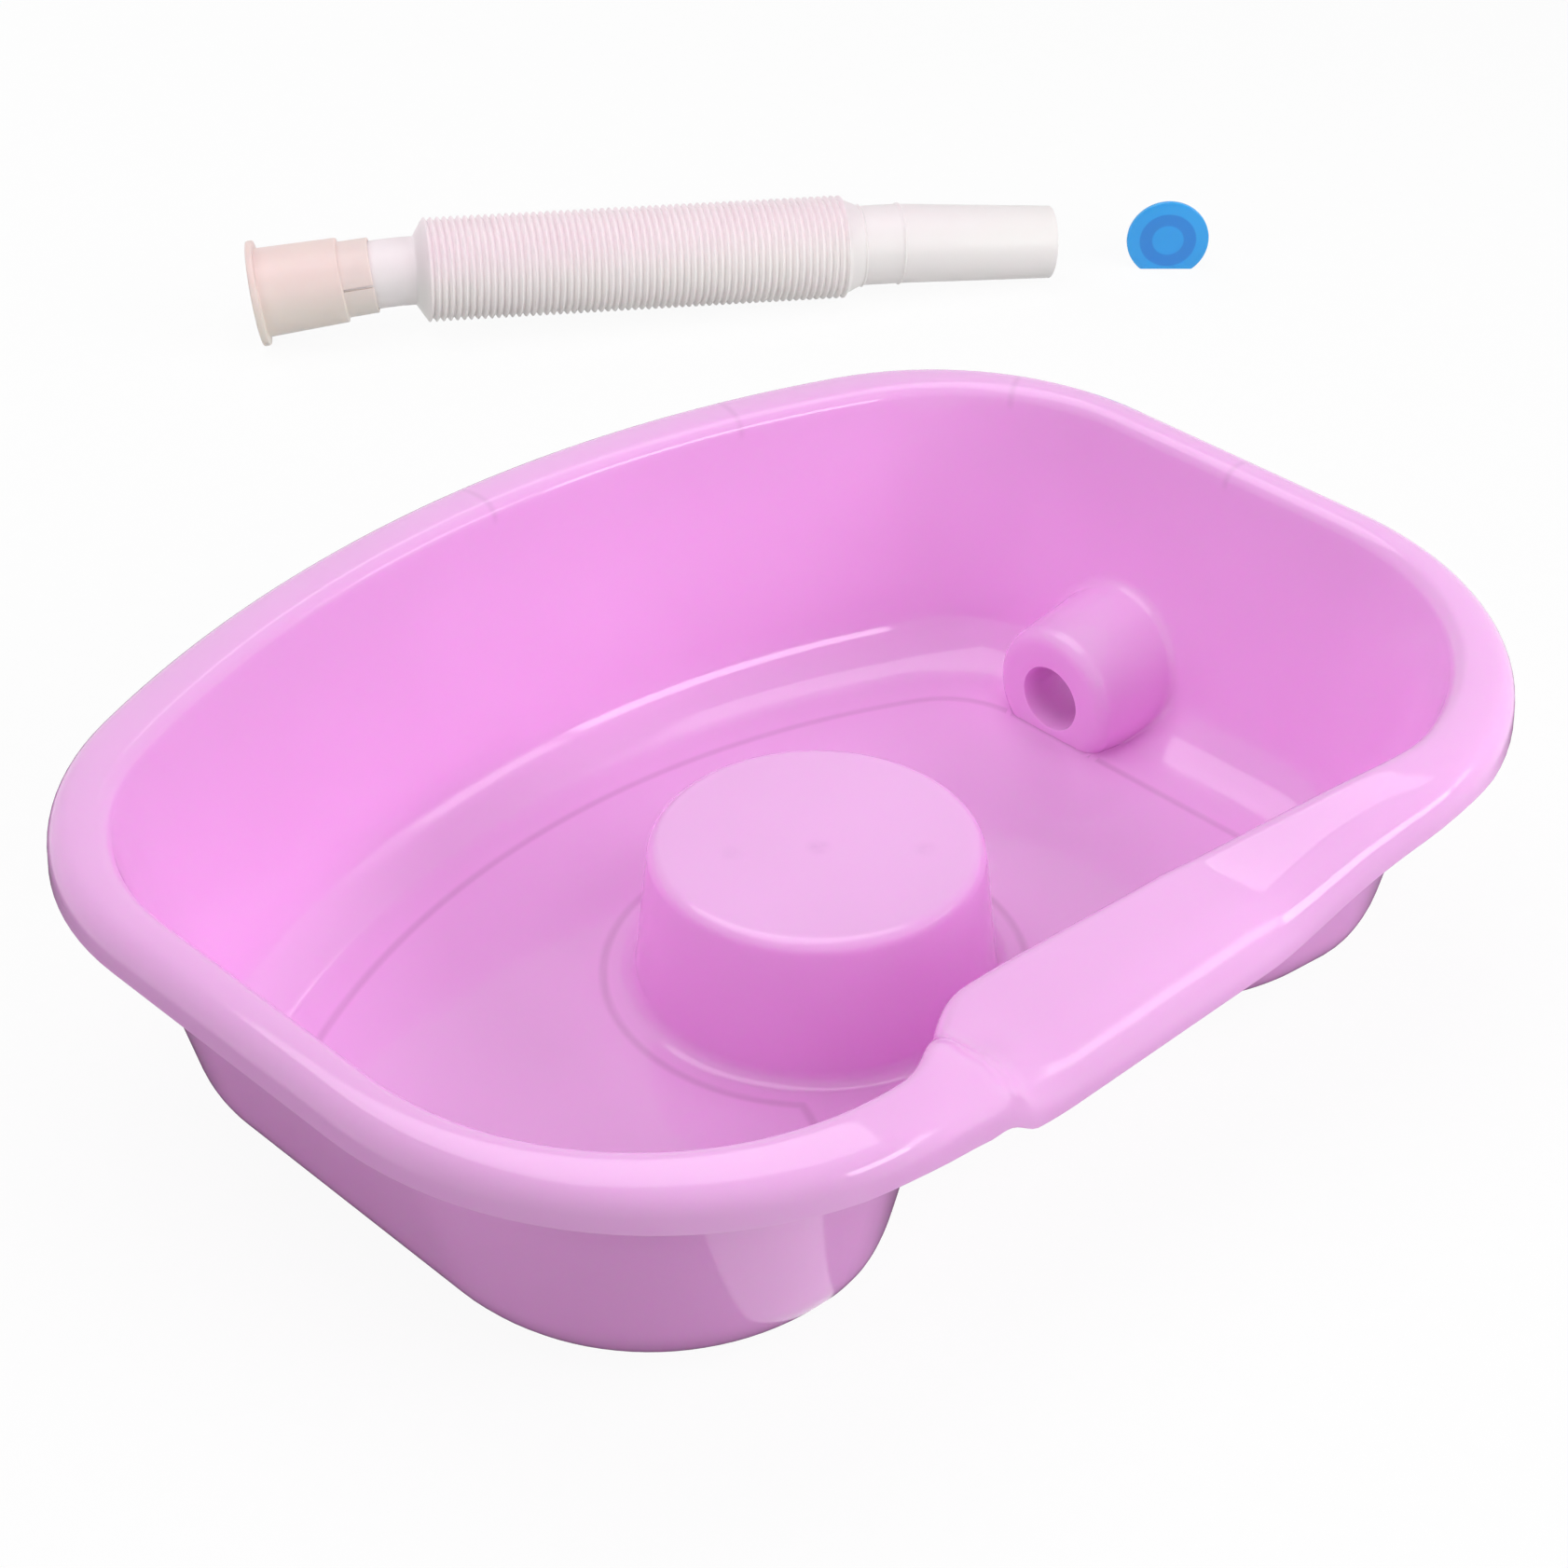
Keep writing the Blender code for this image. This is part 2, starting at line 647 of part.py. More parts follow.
def make_hose(parts, cutters, material):
    frame = neck_frame()
    points = neck_path()
    radii = [BELLOWS_ROOT, HOSE_NECK_RADIUS] + [HOSE_NECK_RADIUS] * (len(points) - 2)
    bores = [BELLOWS_BORE, HOSE_NECK_BORE] + [HOSE_NECK_BORE] * (len(points) - 2)
    neck = tube("hose_neck", points, radii, bores, TUBE_RESOLUTION, parts, cutters, frame, material)
    frame = hose_frame()
    pitch = BELLOWS_LENGTH / RIB_COUNT
    points = []
    radii = []
    for index in range(RIB_COUNT):
        points.append(Vector((pitch * (index + 0.25), 0.0, 0.0)))
        radii.append(BELLOWS_ROOT)
        points.append(Vector((pitch * (index + 0.75), 0.0, 0.0)))
        radii.append(BELLOWS_CREST)
    points = [Vector((0.0, 0.0, 0.0))] + points + [Vector((BELLOWS_LENGTH, 0.0, 0.0))]
    radii = [BELLOWS_ROOT] + radii + [BELLOWS_ROOT]
    bores = [BELLOWS_BORE] + [0.0] * (len(points) - 2) + [BELLOWS_BORE]
    bellows = tube("hose_bellows", points, radii, bores, RIB_RESOLUTION, parts, cutters, frame, material)
    start = BELLOWS_LENGTH + FIT_GAP
    cuff = start + TAIL_CONE
    end = cuff + CUFF_LENGTH
    cuff_height = HOSE_START_HEIGHT - end * math.sin(HOSE_TILT)
    droop = math.asin((cuff_height - SLEEVE_END_RADIUS - FIT_GAP) / SLEEVE_LENGTH) - HOSE_TILT
    tip = Vector((end + SLEEVE_LENGTH * math.cos(droop), 0.0, -SLEEVE_LENGTH * math.sin(droop)))
    spots = [start, cuff, cuff + CUFF_RING, end - CUFF_RING * 2, end - CUFF_RING]
    points = [Vector((x, 0.0, 0.0)) for x in spots] + [Vector((end, 0.0, 0.0)), tip]
    radii = [BELLOWS_ROOT, CUFF_RADIUS + CUFF_RING, CUFF_RADIUS, CUFF_RADIUS, CUFF_RADIUS + CUFF_RING]
    radii += [CUFF_RADIUS, SLEEVE_END_RADIUS]
    bores = [BELLOWS_BORE, CUFF_RADIUS - TAIL_WALL, 0.0, 0.0, 0.0]
    bores += [CUFF_RADIUS - TAIL_WALL, SLEEVE_END_RADIUS - TAIL_WALL]
    tail = tube("hose_tail", points, radii, bores, TUBE_RESOLUTION, parts, cutters, frame, material)
    return neck, bellows, tail


def make_connector(parts, cutters, material):
    # Turned about its own +Z, from the flange's face at zero to the collar's end.
    grip = HOSE_NECK_RADIUS + FIT_GAP
    step_in = CONNECTOR_LENGTH - HOSE_NECK_INSERT - FIT_GAP
    edge = FLANGE_THICKNESS / 4
    profile = [
        (COLLAR_RADIUS, CONNECTOR_LENGTH),
        (COLLAR_RADIUS, CONNECTOR_BODY_END + edge),
        (CONNECTOR_TAIL_RADIUS, CONNECTOR_BODY_END),
        (CONNECTOR_TAIL_RADIUS + edge, CONNECTOR_BODY_END - edge),
        (CONNECTOR_MOUTH_RADIUS, FLANGE_THICKNESS + edge),
        (CONNECTOR_MOUTH_RADIUS + edge, FLANGE_THICKNESS),
        (FLANGE_RADIUS - edge, FLANGE_THICKNESS),
        (FLANGE_RADIUS, FLANGE_THICKNESS - edge),
        (FLANGE_RADIUS, edge),
        (FLANGE_RADIUS - edge, 0.0),
        (CONNECTOR_BORE_RADIUS + edge, 0.0),
        (CONNECTOR_BORE_RADIUS, edge),
        (CONNECTOR_BORE_RADIUS, CONNECTOR_BORE_DEPTH),
        (HOSE_NECK_BORE, CONNECTOR_BORE_DEPTH + edge),
        (HOSE_NECK_BORE, step_in),
        (grip, step_in),
        (grip, CONNECTOR_LENGTH),
    ]
    obj = turned("hose_connector", profile, parts)
    half = COLLAR_SLOT_WIDTH / 2
    low = (HOSE_NECK_BORE / 2, -half, CONNECTOR_LENGTH - COLLAR_SLOT_LENGTH)
    high = (FLANGE_RADIUS, half, CONNECTOR_LENGTH + edge)
    slot = box("collar_slot", low, high, cutters)
    boolean(obj, slot, "DIFFERENCE")
    points = neck_path()
    inner = points[-1]
    heading = (points[-2] - points[-1]).normalized()
    mouth = inner - heading * (step_in + FIT_GAP)
    turn = Matrix.Rotation(-NECK_BEND, 4, "Z")
    lay = Matrix.Rotation(math.pi / 2, 4, "Y") @ Matrix.Rotation(COLLAR_SLOT_ANGLE, 4, "Z")
    place = neck_frame() @ Matrix.Translation(mouth) @ turn @ lay
    obj.matrix_world = place
    slot.matrix_world = place
    finish(obj, material)
    return obj


def make_stopper(parts, cutters, material):
    # Turned about its own +Z, with the flange's face outwards and the plug behind it.
    edge = STOPPER_FLANGE_THICKNESS / 4
    back = -STOPPER_FLANGE_THICKNESS
    tip = back - PLUG_LENGTH
    profile = [
        (0.0, 0.0),
        (STOPPER_FLANGE_RADIUS - edge, 0.0),
        (STOPPER_FLANGE_RADIUS, -edge),
        (STOPPER_FLANGE_RADIUS, back + edge),
        (STOPPER_FLANGE_RADIUS - edge, back),
        (PLUG_ROOT_RADIUS, back),
        (PLUG_TIP_RADIUS + edge, tip + edge),
        (PLUG_TIP_RADIUS, tip),
        (PLUG_CORE_RADIUS, tip),
        (PLUG_CORE_RADIUS - edge, back - edge),
        (0.0, back - edge),
    ]
    obj = turned("stopper", profile, parts)
    wide = STOPPER_FLANGE_RADIUS * 2
    low = (STOPPER_FLAT, -wide, tip * 2)
    high = (wide, wide, STOPPER_FLANGE_RADIUS)
    flat = box("stopper_flat", low, high, cutters)
    boolean(obj, flat, "DIFFERENCE")
    place = Matrix.Translation((STOPPER_PLACE[0], STOPPER_PLACE[1] - RIB_BEND_RADIUS, STOPPER_FLAT))
    frame = place @ Matrix.Rotation(STOPPER_HEADING, 4, "Z") @ Matrix.Rotation(math.pi / 2, 4, "Y")
    obj.matrix_world = frame
    flat.matrix_world = frame
    finish(obj, material)
    return obj


def main():
    clear_scene()
    parts = new_collection("Portable shampoo basin")
    cutters = new_collection("Cutters")
    pink = new_material("basin_plastic", (0.80, 0.33, 0.74), 0.25, 0.0)
    pale = new_material("hose_plastic", (0.86, 0.76, 0.79), 0.40, 0.0)
    cream = new_material("connector_plastic", (0.87, 0.74, 0.66), 0.45, 0.0)
    blue = new_material("stopper_plastic", (0.03, 0.35, 0.80), 0.25, 0.0)
    make_basin(parts, cutters, pink)
    make_hose(parts, cutters, pale)
    make_connector(parts, cutters, cream)
    make_stopper(parts, cutters, blue)


main()
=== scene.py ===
# Looks of a portable shampoo basin, its ribbed drain hose with a connector, and its stopper.
# Metres, +Z up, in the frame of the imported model: the basin stands on z = 0, its neck rest towards -Y.
import math

import bmesh
import bpy
from bpy.props import FloatProperty, FloatVectorProperty, IntProperty, PointerProperty
from mathutils import Matrix, Vector
from mathutils.bvhtree import BVHTree
from mathutils.kdtree import KDTree


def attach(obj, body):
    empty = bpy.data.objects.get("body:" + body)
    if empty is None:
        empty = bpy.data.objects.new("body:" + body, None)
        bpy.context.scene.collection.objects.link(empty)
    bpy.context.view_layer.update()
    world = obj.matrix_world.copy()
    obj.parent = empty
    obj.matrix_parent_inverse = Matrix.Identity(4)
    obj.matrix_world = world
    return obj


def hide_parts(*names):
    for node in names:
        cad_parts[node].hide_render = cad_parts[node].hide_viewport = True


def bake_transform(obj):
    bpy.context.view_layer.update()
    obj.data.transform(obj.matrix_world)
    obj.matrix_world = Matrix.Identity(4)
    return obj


bl_info = {
    "name": "Portable Shampoo Basin",
    "version": (1, 0, 0),
    "blender": (4, 5, 0),
    "location": "3D View > Sidebar > Basin",
    "description": "Builds the looks of a moulded shampoo basin with its drain hose and stopper",
    "category": "Object",
}

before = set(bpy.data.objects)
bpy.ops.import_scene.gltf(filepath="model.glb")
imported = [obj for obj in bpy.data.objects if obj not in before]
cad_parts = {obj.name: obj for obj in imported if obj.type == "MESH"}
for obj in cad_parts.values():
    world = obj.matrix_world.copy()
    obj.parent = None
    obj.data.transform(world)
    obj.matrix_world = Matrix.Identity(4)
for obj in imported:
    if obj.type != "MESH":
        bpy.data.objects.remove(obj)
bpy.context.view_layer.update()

# The part's frame starts on the foot rib, behind the pedestal whose axis the plan is drawn from.
PEDESTAL_Y = -0.088
FLOOR_Z = 0.010

# Plan outlines, from the pedestal's axis: the floor, the rim's inner edge and the rim's outside.
FLOOR = {"half": 0.208, "back": 0.163, "radius": 0.3775, "corner": 0.0565, "front": 0.125, "front_corner": 0.060}
EDGE = {"half": 0.261, "back": 0.2105, "radius": 0.482, "corner": 0.104, "front": 0.1755, "front_corner": 0.127}
OUTER = {"half": 0.283, "back": 0.240, "radius": 0.510, "corner": 0.133, "front": 0.2065, "front_corner": 0.155}
FRONT_STEPS = 40
FRONT_CORNER_STEPS = 26
SIDE_STEPS = 30
BACK_CORNER_STEPS = 20
BACK_STEPS = 30
FRONT_SPACING = 1.6
FLOOR_STEPS = 16

# Section of the wall and the rolled rim.
WALL_HEADING = math.radians(77.0)
WALL_FILLET = 0.031
FILLET_STEPS = 14
WALL_STEPS = 16
RIM = {"inner": 0.0075, "shoulder": 0.011, "skirt": 0.0065, "start": math.radians(2.0), "end": math.radians(-10.0)}
NECK = {"inner": 0.008, "shoulder": 0.024, "skirt": 0.001, "start": 0.0, "end": math.radians(-4.0)}
NECK_BLEND_ARC = 0.004
SKIRT_HEADING = math.radians(-86.0)
INNER_STEPS = 8
CROWN_STEPS = 8
SHOULDER_STEPS = 9

# The neck rest: between which widths the plan moves in and the rim dips, on its left and its right, and how far.
NECK_FLOOR = ((0.135, 0.060), (0.135, 0.060))
NECK_SHIFT = ((0.135, 0.060), (0.160, 0.040))
NECK_DIPS = ((0.118, 0.085), (0.150, 0.050))
NECK_LIPS = ((0.165, 0.060), (0.165, 0.060))
NECK_OUTER = ((0.180, 0.060), (0.180, 0.060))
NECK_FLOOR_SHIFT = 0.025
NECK_EDGE_SHIFT = 0.0345
NECK_EDGE_SLANT = 0.006
NECK_SLANT_FROM = 0.060
NECK_OUTER_SHIFT = 0.0135

# Head pedestal.
PEDESTAL_TOP = 0.0690
PEDESTAL_BASE = 0.0745
PEDESTAL_EDGE = 0.006
PEDESTAL_FILLET = 0.0073
PEDESTAL_DRAFT = math.radians(5.0)
PEDESTAL_TOP_SHARES = (0.02, 0.2, 0.4, 0.6, 0.78, 0.88)
PEDESTAL_ARC_STEPS = 9
SIDE_SHARES = (0.2, 0.4, 0.6, 0.8)

# Faint moulding marks on the pedestal's top: place and depth of each.
GATE_MARKS = ((-0.030, -0.070, 0.10), (-0.002, -0.091, 0.22), (0.028, -0.122, 0.14))
GATE_MARK_RADIUS = 0.007
GATE_MARK_COLOUR = (0.55, 0.25, 0.55)
PEDESTAL_LEVEL = 0.0742

# Painted shade where gussets under the rim show through it: place and heading of each, and their size as seen.
GUSSETS = ((0.012, 0.132, math.radians(88.6)), (0.143, 0.113, math.radians(73.0)),
           (0.250, 0.038, math.radians(29.0)), (0.263, -0.079, 0.0))
GUSSET_LEVEL = 0.137
GUSSET_WIDTH = 0.0026
GUSSET_SHADE_STRENGTH = 0.22
GUSSET_REACH = 0.016
GUSSET_DROP = 0.005
GUSSET_SHADE = 0.6

# Foot rib.
RIB_WIDTH = 0.0025
RIB_INSET = 0.0115
RIB_BEND = 0.088
RIB_LEAVE = math.radians(-42.0)
RIB_LEG_X = 0.072
RIB_SAMPLE = 0.0005
RIB_BEND_STEPS = 60
RIB_SINK = 0.0014
RIB_BANDS = (0.0065, 0.004)
# Painted shade where the foot rib shows through the floor: how strong it is, and the tone it darkens to.
RIB_SHADE_STRENGTH = 0.36
RIB_SHADE = 0.55

# Drain boss, its pocket and the outlet spigot.
DRAIN_Y = 0.048
DRAIN_Z = 0.019
DRAIN_BORE = 0.0155
BOSS_X = 0.196
BOSS_FACE = 0.033
BOSS_BASE = 0.037
BOSS_EDGE = 0.0055
BOSS_DEPTH = 0.056
SPIGOT_RADIUS = 0.0188
SPIGOT_LENGTH = 0.044
LIP = 0.0008
BOSS_ROUND = 0.0075
BOSS_FLARE = 0.004
BOSS_FLARE_LOW = 0.0015
BOSS_FLARE_RISE = 0.012
BOSS_LOW = 0.0004
BOSS_SIDES = 144
BOSS_ROUND_STEPS = 9
BOSS_FLARE_TURNS = (15, 30, 45, 60, 75, 88)
BOSS_ROOT = ((1.04, 0.3), (0.9, 0.8), (0.6, 1.0), (0.3, 1.0))
POCKET_STEPS = 8
BORE_FLARE = 0.0006
BORE_SIDES = 96

# Hose route.
HOSE_START = (0.2552, 0.4792, 0.0372)
HOSE_HEADING = math.radians(-33.1)
HOSE_TILT = math.radians(1.97)
NECK_BEND = math.radians(9.4)
NECK_BEND_SIDE = math.radians(-65.0)
FIT_GAP = 0.0003
NECK_CONE = 0.0045
NECK_VISIBLE = 0.027
NECK_INSERT = 0.020
NECK_RADIUS = 0.01875
NECK_BORE = 0.0172
BELLOWS_LENGTH = 0.2375
BELLOWS_ROOT = 0.0263
BELLOWS_BORE = 0.0247
TAIL_CONE = 0.0086
CUFF_LENGTH = 0.0222
CUFF_RADIUS = 0.0222
SLEEVE_LENGTH = 0.089
SLEEVE_END = 0.02035
TAIL_WALL = 0.0014
SAMPLES_PER_RIB = 8
HOSE_SIDES = 72
NECK_BEND_STEPS = 8
RIB_ROUNDNESS = 0.6
CUFF_RING_WIDTH = 0.0016
CUFF_RING_HEIGHT = 0.0010
END_REACH = 0.1
PATH_STEP = 0.01

# Connector, from its flange's face.
CONNECTOR_LENGTH = 0.066
FLANGE_RADIUS = 0.029
FLANGE_THICKNESS = 0.004
MOUTH_RADIUS = 0.0245
BODY_END_RADIUS = 0.0225
BODY_END = 0.049
COLLAR_RADIUS = 0.02075
SOCKET_RADIUS = 0.0191
SOCKET_DEPTH = 0.040
SLOT_ANGLE = math.radians(-34.0)
SLOT_WIDTH = 0.0016
SLOT_LENGTH = 0.0165
COLLAR_DRAFT = 0.0002
BODY_END_STEP = 0.0008
CONNECTOR_CORNER = 0.0011

# Stopper, standing on its flat.
STOPPER_PLACE = (0.609, 0.241)
STOPPER_HEADING = math.radians(-134.2)
STOPPER_THICKNESS = 0.003
STOPPER_FLAT = 0.018
PLUG_ROOT = 0.0162
PLUG_TIP = 0.0148
PLUG_LENGTH = 0.017
PLUG_CORE = 0.009
# Painted shade of the plug and its hollow core seen through the clear disc, as tints of the blue.
PLUG_SHADE_TINT = (0.75, 0.66, 0.82)
CORE_SHADE_TINT = (0.85, 0.95, 0.98)
PLUG_BLUR = 0.0006
PLUG_HOLLOW_DRAFT = 0.0006
PLUG_HOLLOW_END = 0.0008
STOPPER_CORNER = 0.0009

# Meshes: how finely bodies are turned, how corners are cut, what is joined and what stays sharp.
TURNED_STEPS = 128
CORNER_STEPS = 3
CORNER_LIMIT = 0.45
WELD_GAP = 0.000001
SHARP_ANGLE = math.radians(32.0)
BOX_FACES = [(0, 2, 3, 1), (4, 5, 7, 6), (0, 1, 5, 4), (2, 6, 7, 3), (0, 4, 6, 2), (1, 3, 7, 5)]

# Plastics: roughness, fine grain, light under the surface, and the two tones of the milky ones by height.
GRAIN_HEIGHT = 0.0002
WAVE_DEPTH = 0.08
WAVE_HEIGHT = 0.0012
BASIN_LOOK = {"roughness": (0.06, 0.10), "grain": 700.0, "grain_depth": 0.05,
              "under": 0.35, "under_radius": (1.0, 0.45, 0.85), "under_scale": 0.006}
HOSE_LOOK = {"roughness": (0.34, 0.46), "grain": 500.0, "grain_depth": 0.05,
             "under": 0.3, "under_radius": (1.0, 0.85, 0.85), "under_scale": 0.003,
             "levels": (0.030, 0.060), "below": (0.98, 0.94, 0.91), "above": (0.95, 0.81, 0.86),
             "cloud": 40.0, "cloud_share": 0.25, "cloud_gain": 1.06}
CONNECTOR_LOOK = {"roughness": (0.32, 0.44), "grain": 600.0, "grain_depth": 0.05,
                  "under": 0.3, "under_radius": (1.0, 0.75, 0.6), "under_scale": 0.004,
                  "levels": (0.022, 0.055), "below": (0.90, 0.83, 0.75), "above": (0.88, 0.69, 0.67),
                  "cloud": 60.0, "cloud_share": 0.2, "cloud_gain": 1.0}
STOPPER_LOOK = {"roughness": (0.12, 0.22), "grain": 500.0, "grain_depth": 0.06,
                "under": 0.3, "under_radius": (0.2, 0.6, 1.0), "under_scale": 0.004}

# Stage: the paper floor, the edges of the painted light on the paper that the outer wall mirrors, the lamps and the
# camera.
FLOOR_REACH = 9
PAPER_TONES = ((0.88, 0.88, 0.88), (0.92, 0.92, 0.92))
PAPER_BOUNCE = (0.6, 0.6, 0.6)
# Painted shade: the paper's dark tone for glossy rays, standing in for the basin's shadow that the outer wall mirrors.
PAPER_MIRRORED_SHADE = (0.12, 0.12, 0.12)
PAPER_GLOW = 0.93
WORLD_STRENGTH = 0.04
# Painted light that only mirrors see: where the paper glows beyond a slanted painted shadow edge and far from the
# basin.
PAPER_EDGE_X = -0.128
PAPER_SLOPE = 0.70
PAPER_FRONT = -0.128
PAPER_BLUR = 0.002
PAPER_FAR = 0.42
# Each lamp's name, place, target, size, power setting, and whether glossy surfaces mirror it.
LAMPS = (
    ("key_softbox", (1.3, -1.55, 0.95), (0.0, 0.0, 0.05), (1.7, 0.9), "key_power", False),
    ("side_softbox", (-1.8, 0.3, 0.9), (0.0, 0.0, 0.05), (1.2, 0.9), "side_power", False),
    ("front_softbox", (-0.1, -1.5, 1.5), (0.0, 0.0, 0.05), (1.2, 0.9), "front_power", False),
    ("back_softbox", (0.3, 1.9, 0.9), (0.0, 0.0, 0.05), (1.4, 0.9), "back_power", False),
    ("top_softbox", (0.1, 0.35, 1.7), (0.05, 0.0, 0.0), (1.7, 1.5), "top_power", True),
    ("gleam", (1.3, -1.55, 0.95), (0.0, -0.05, 0.05), (0.6, 0.4), "gleam_power", True),
    ("wide_gleam", (1.31, -1.56, 0.96), (0.0, -0.05, 0.05), (1.1, 0.7), "gleam_power", True),
    ("line_gleam", (0.4, -1.7, 0.75), (0.1, 0.0, 0.05), (1.0, 0.4), "line_power", True),
)
CAMERA_TARGET = Vector((0.0820, 0.0152, 0.010))
CAMERA_DISTANCE = 1.4986
CAMERA_AZIMUTH = math.radians(-44.205)
CAMERA_ELEVATION = math.radians(35.244)
CAMERA_LENS = 77.05


class BasinSizes(bpy.types.PropertyGroup):
    wall: FloatProperty(name="Wall", description="Thickness of the moulded wall", default=0.0028, unit="LENGTH")
    rim_height: FloatProperty(name="Rim height", description="Height of the rim's inner edge above the floor",
                              default=0.1216, unit="LENGTH")
    neck_dip: FloatProperty(name="Neck dip", description="How far the rim dips at the neck rest",
                            default=0.0236, unit="LENGTH")
    pedestal_height: FloatProperty(name="Pedestal height", description="Height of the head pedestal above the floor",
                                   default=0.0642, unit="LENGTH")


class HoseSizes(bpy.types.PropertyGroup):
    rib_count: IntProperty(name="Ribs", description="Number of ribs of the bellows", default=62, min=4)
    crest: FloatProperty(name="Rib radius", description="Radius over the ribs", default=0.0288, unit="LENGTH")
    root: FloatProperty(name="Groove radius", description="Radius in the grooves", default=0.0265, unit="LENGTH")


class StopperSizes(bpy.types.PropertyGroup):
    flange: FloatProperty(name="Flange radius", description="Radius of the stopper's disc", default=0.0235,
                          unit="LENGTH")


class Finishes(bpy.types.PropertyGroup):
    basin: FloatVectorProperty(name="Basin", description="Colour of the moulded basin", subtype="COLOR", size=3,
                               default=(0.905, 0.460, 0.855))
    hose: FloatVectorProperty(name="Hose", description="Colour of the hose", subtype="COLOR", size=3,
                              default=(0.93, 0.86, 0.87))
    connector: FloatVectorProperty(name="Connector", description="Colour of the hose connector", subtype="COLOR",
                                   size=3, default=(0.90, 0.80, 0.72))
    stopper: FloatVectorProperty(name="Stopper", description="Colour of the stopper", subtype="COLOR", size=3,
                                 default=(0.036, 0.43, 0.98))


class StageSettings(bpy.types.PropertyGroup):
    key_power: FloatProperty(name="Key", description="Power of the softbox at the front right", default=16.5,
                             unit="POWER")
    top_power: FloatProperty(name="Top", description="Power of the overhead softbox", default=16.0, unit="POWER")
    side_power: FloatProperty(name="Side", description="Power of the softbox at the left", default=12.5,
                              unit="POWER")
    front_power: FloatProperty(name="Front", description="Power of the high softbox in front", default=6.5,
                               unit="POWER")
    back_power: FloatProperty(name="Back", description="Power of the softbox behind", default=9.5, unit="POWER")
    gleam_power: FloatProperty(name="Gleam", description="Power of each lamp that draws the soft highlights",
                               default=1.6, unit="POWER")
    line_power: FloatProperty(name="Line", description="Power of the strip that draws the thin bright lines",
                              default=7.0, unit="POWER")


def smooth(value):
    held = min(1.0, max(0.0, value))
    return held * held * (3 - 2 * held)


def mix(first, second, weight):
    return first + (second - first) * weight


def half_outline(plan):
    # Right half of a plan outline, from the front's middle to the back's middle.
    points = []
    straight = plan["half"] - plan["front_corner"]
    for step in range(FRONT_STEPS):
        share = 1 - (1 - step / FRONT_STEPS) ** FRONT_SPACING
        points.append((straight * share, -plan["front"]))
    for step in range(FRONT_CORNER_STEPS):
        angle = math.pi / 2 * step / FRONT_CORNER_STEPS
        x = straight + plan["front_corner"] * math.sin(angle)
        points.append((x, -plan["front"] + plan["front_corner"] * (1 - math.cos(angle))))
    reach = plan["radius"] - plan["corner"]
    corner_x = plan["half"] - plan["corner"]
    centre_y = plan["back"] - plan["radius"]
    corner_y = centre_y + math.sqrt(reach * reach - corner_x * corner_x)
    side_start = -plan["front"] + plan["front_corner"]
    for step in range(SIDE_STEPS):
        points.append((plan["half"], side_start + (corner_y - side_start) * step / SIDE_STEPS))
    sweep = math.atan2(corner_y - centre_y, corner_x)
    for step in range(BACK_CORNER_STEPS):
        angle = sweep * step / BACK_CORNER_STEPS
        points.append((corner_x + plan["corner"] * math.cos(angle), corner_y + plan["corner"] * math.sin(angle)))
    for step in range(BACK_STEPS + 1):
        angle = sweep + (math.pi / 2 - sweep) * step / BACK_STEPS
        points.append((plan["radius"] * math.cos(angle), centre_y + plan["radius"] * math.sin(angle)))
    return points


def ring_of(plan):
    half = half_outline(plan)
    return half + [(-x, y) for x, y in half[1:-1]][::-1]


def neck_weight(x, y, widths):
    # From 0 outside the neck rest to 1 in its middle, with its own run on each side.
    if y > 0:
        return 0.0
    outside, inside = widths[1 if x > 0 else 0]
    return smooth((outside - abs(x)) / (outside - inside))


def moved_in(ring, widths, amount, slant=0.0):
    # The slant moves the left part of the neck rest further in than its right part.
    moved = []
    for x, y in ring:
        more = slant * smooth((NECK_SLANT_FROM - x) / (2 * NECK_SLANT_FROM))
        moved.append((x, y + (amount + more) * neck_weight(x, y, widths)))
    return moved


def ring_normals(ring):
    normals = []
    for index in range(len(ring)):
        before = ring[index - 1]
        after = ring[(index + 1) % len(ring)]
        along = Vector((after[0] - before[0], after[1] - before[1])).normalized()
        normals.append((along.y, -along.x))
    return normals


def widened(ring, amount):
    return [(x + nx * amount, y + ny * amount) for (x, y), (nx, ny) in zip(ring, ring_normals(ring))]


def arc_turn(start, heading, end_heading, radius, steps):
    # Points of a clockwise arc that leaves start along heading, without start itself.
    points = []
    for step in range(1, steps + 1):
        now = heading + (end_heading - heading) * step / steps
        points.append((start[0] + radius * (math.sin(heading) - math.sin(now)),
                       start[1] + radius * (math.cos(now) - math.cos(heading))))
    return points


def arc_points(centre, radius, start, end, steps):
    points = []
    for step in range(steps + 1):
        angle = start + (end - start) * step / steps
        points.append((centre[0] + radius * math.cos(angle), centre[1] + radius * math.sin(angle)))
    return points


def wall_profile(rim_height):
    # Shares of the way out and of the height, from the floor's edge to the rim's inner edge.
    points = [(0.0, 0.0)]
    for step in range(1, FILLET_STEPS + 1):
        angle = WALL_HEADING * step / FILLET_STEPS
        points.append((WALL_FILLET * math.sin(angle), WALL_FILLET * (1 - math.cos(angle))))
    start = points[-1]
    for step in range(1, WALL_STEPS + 1):
        rise = (rim_height - start[1]) * step / WALL_STEPS
        points.append((start[0] + rise / math.tan(WALL_HEADING), start[1] + rise))
    width = points[-1][0]
    return [(out / width, height / rim_height) for out, height in points]


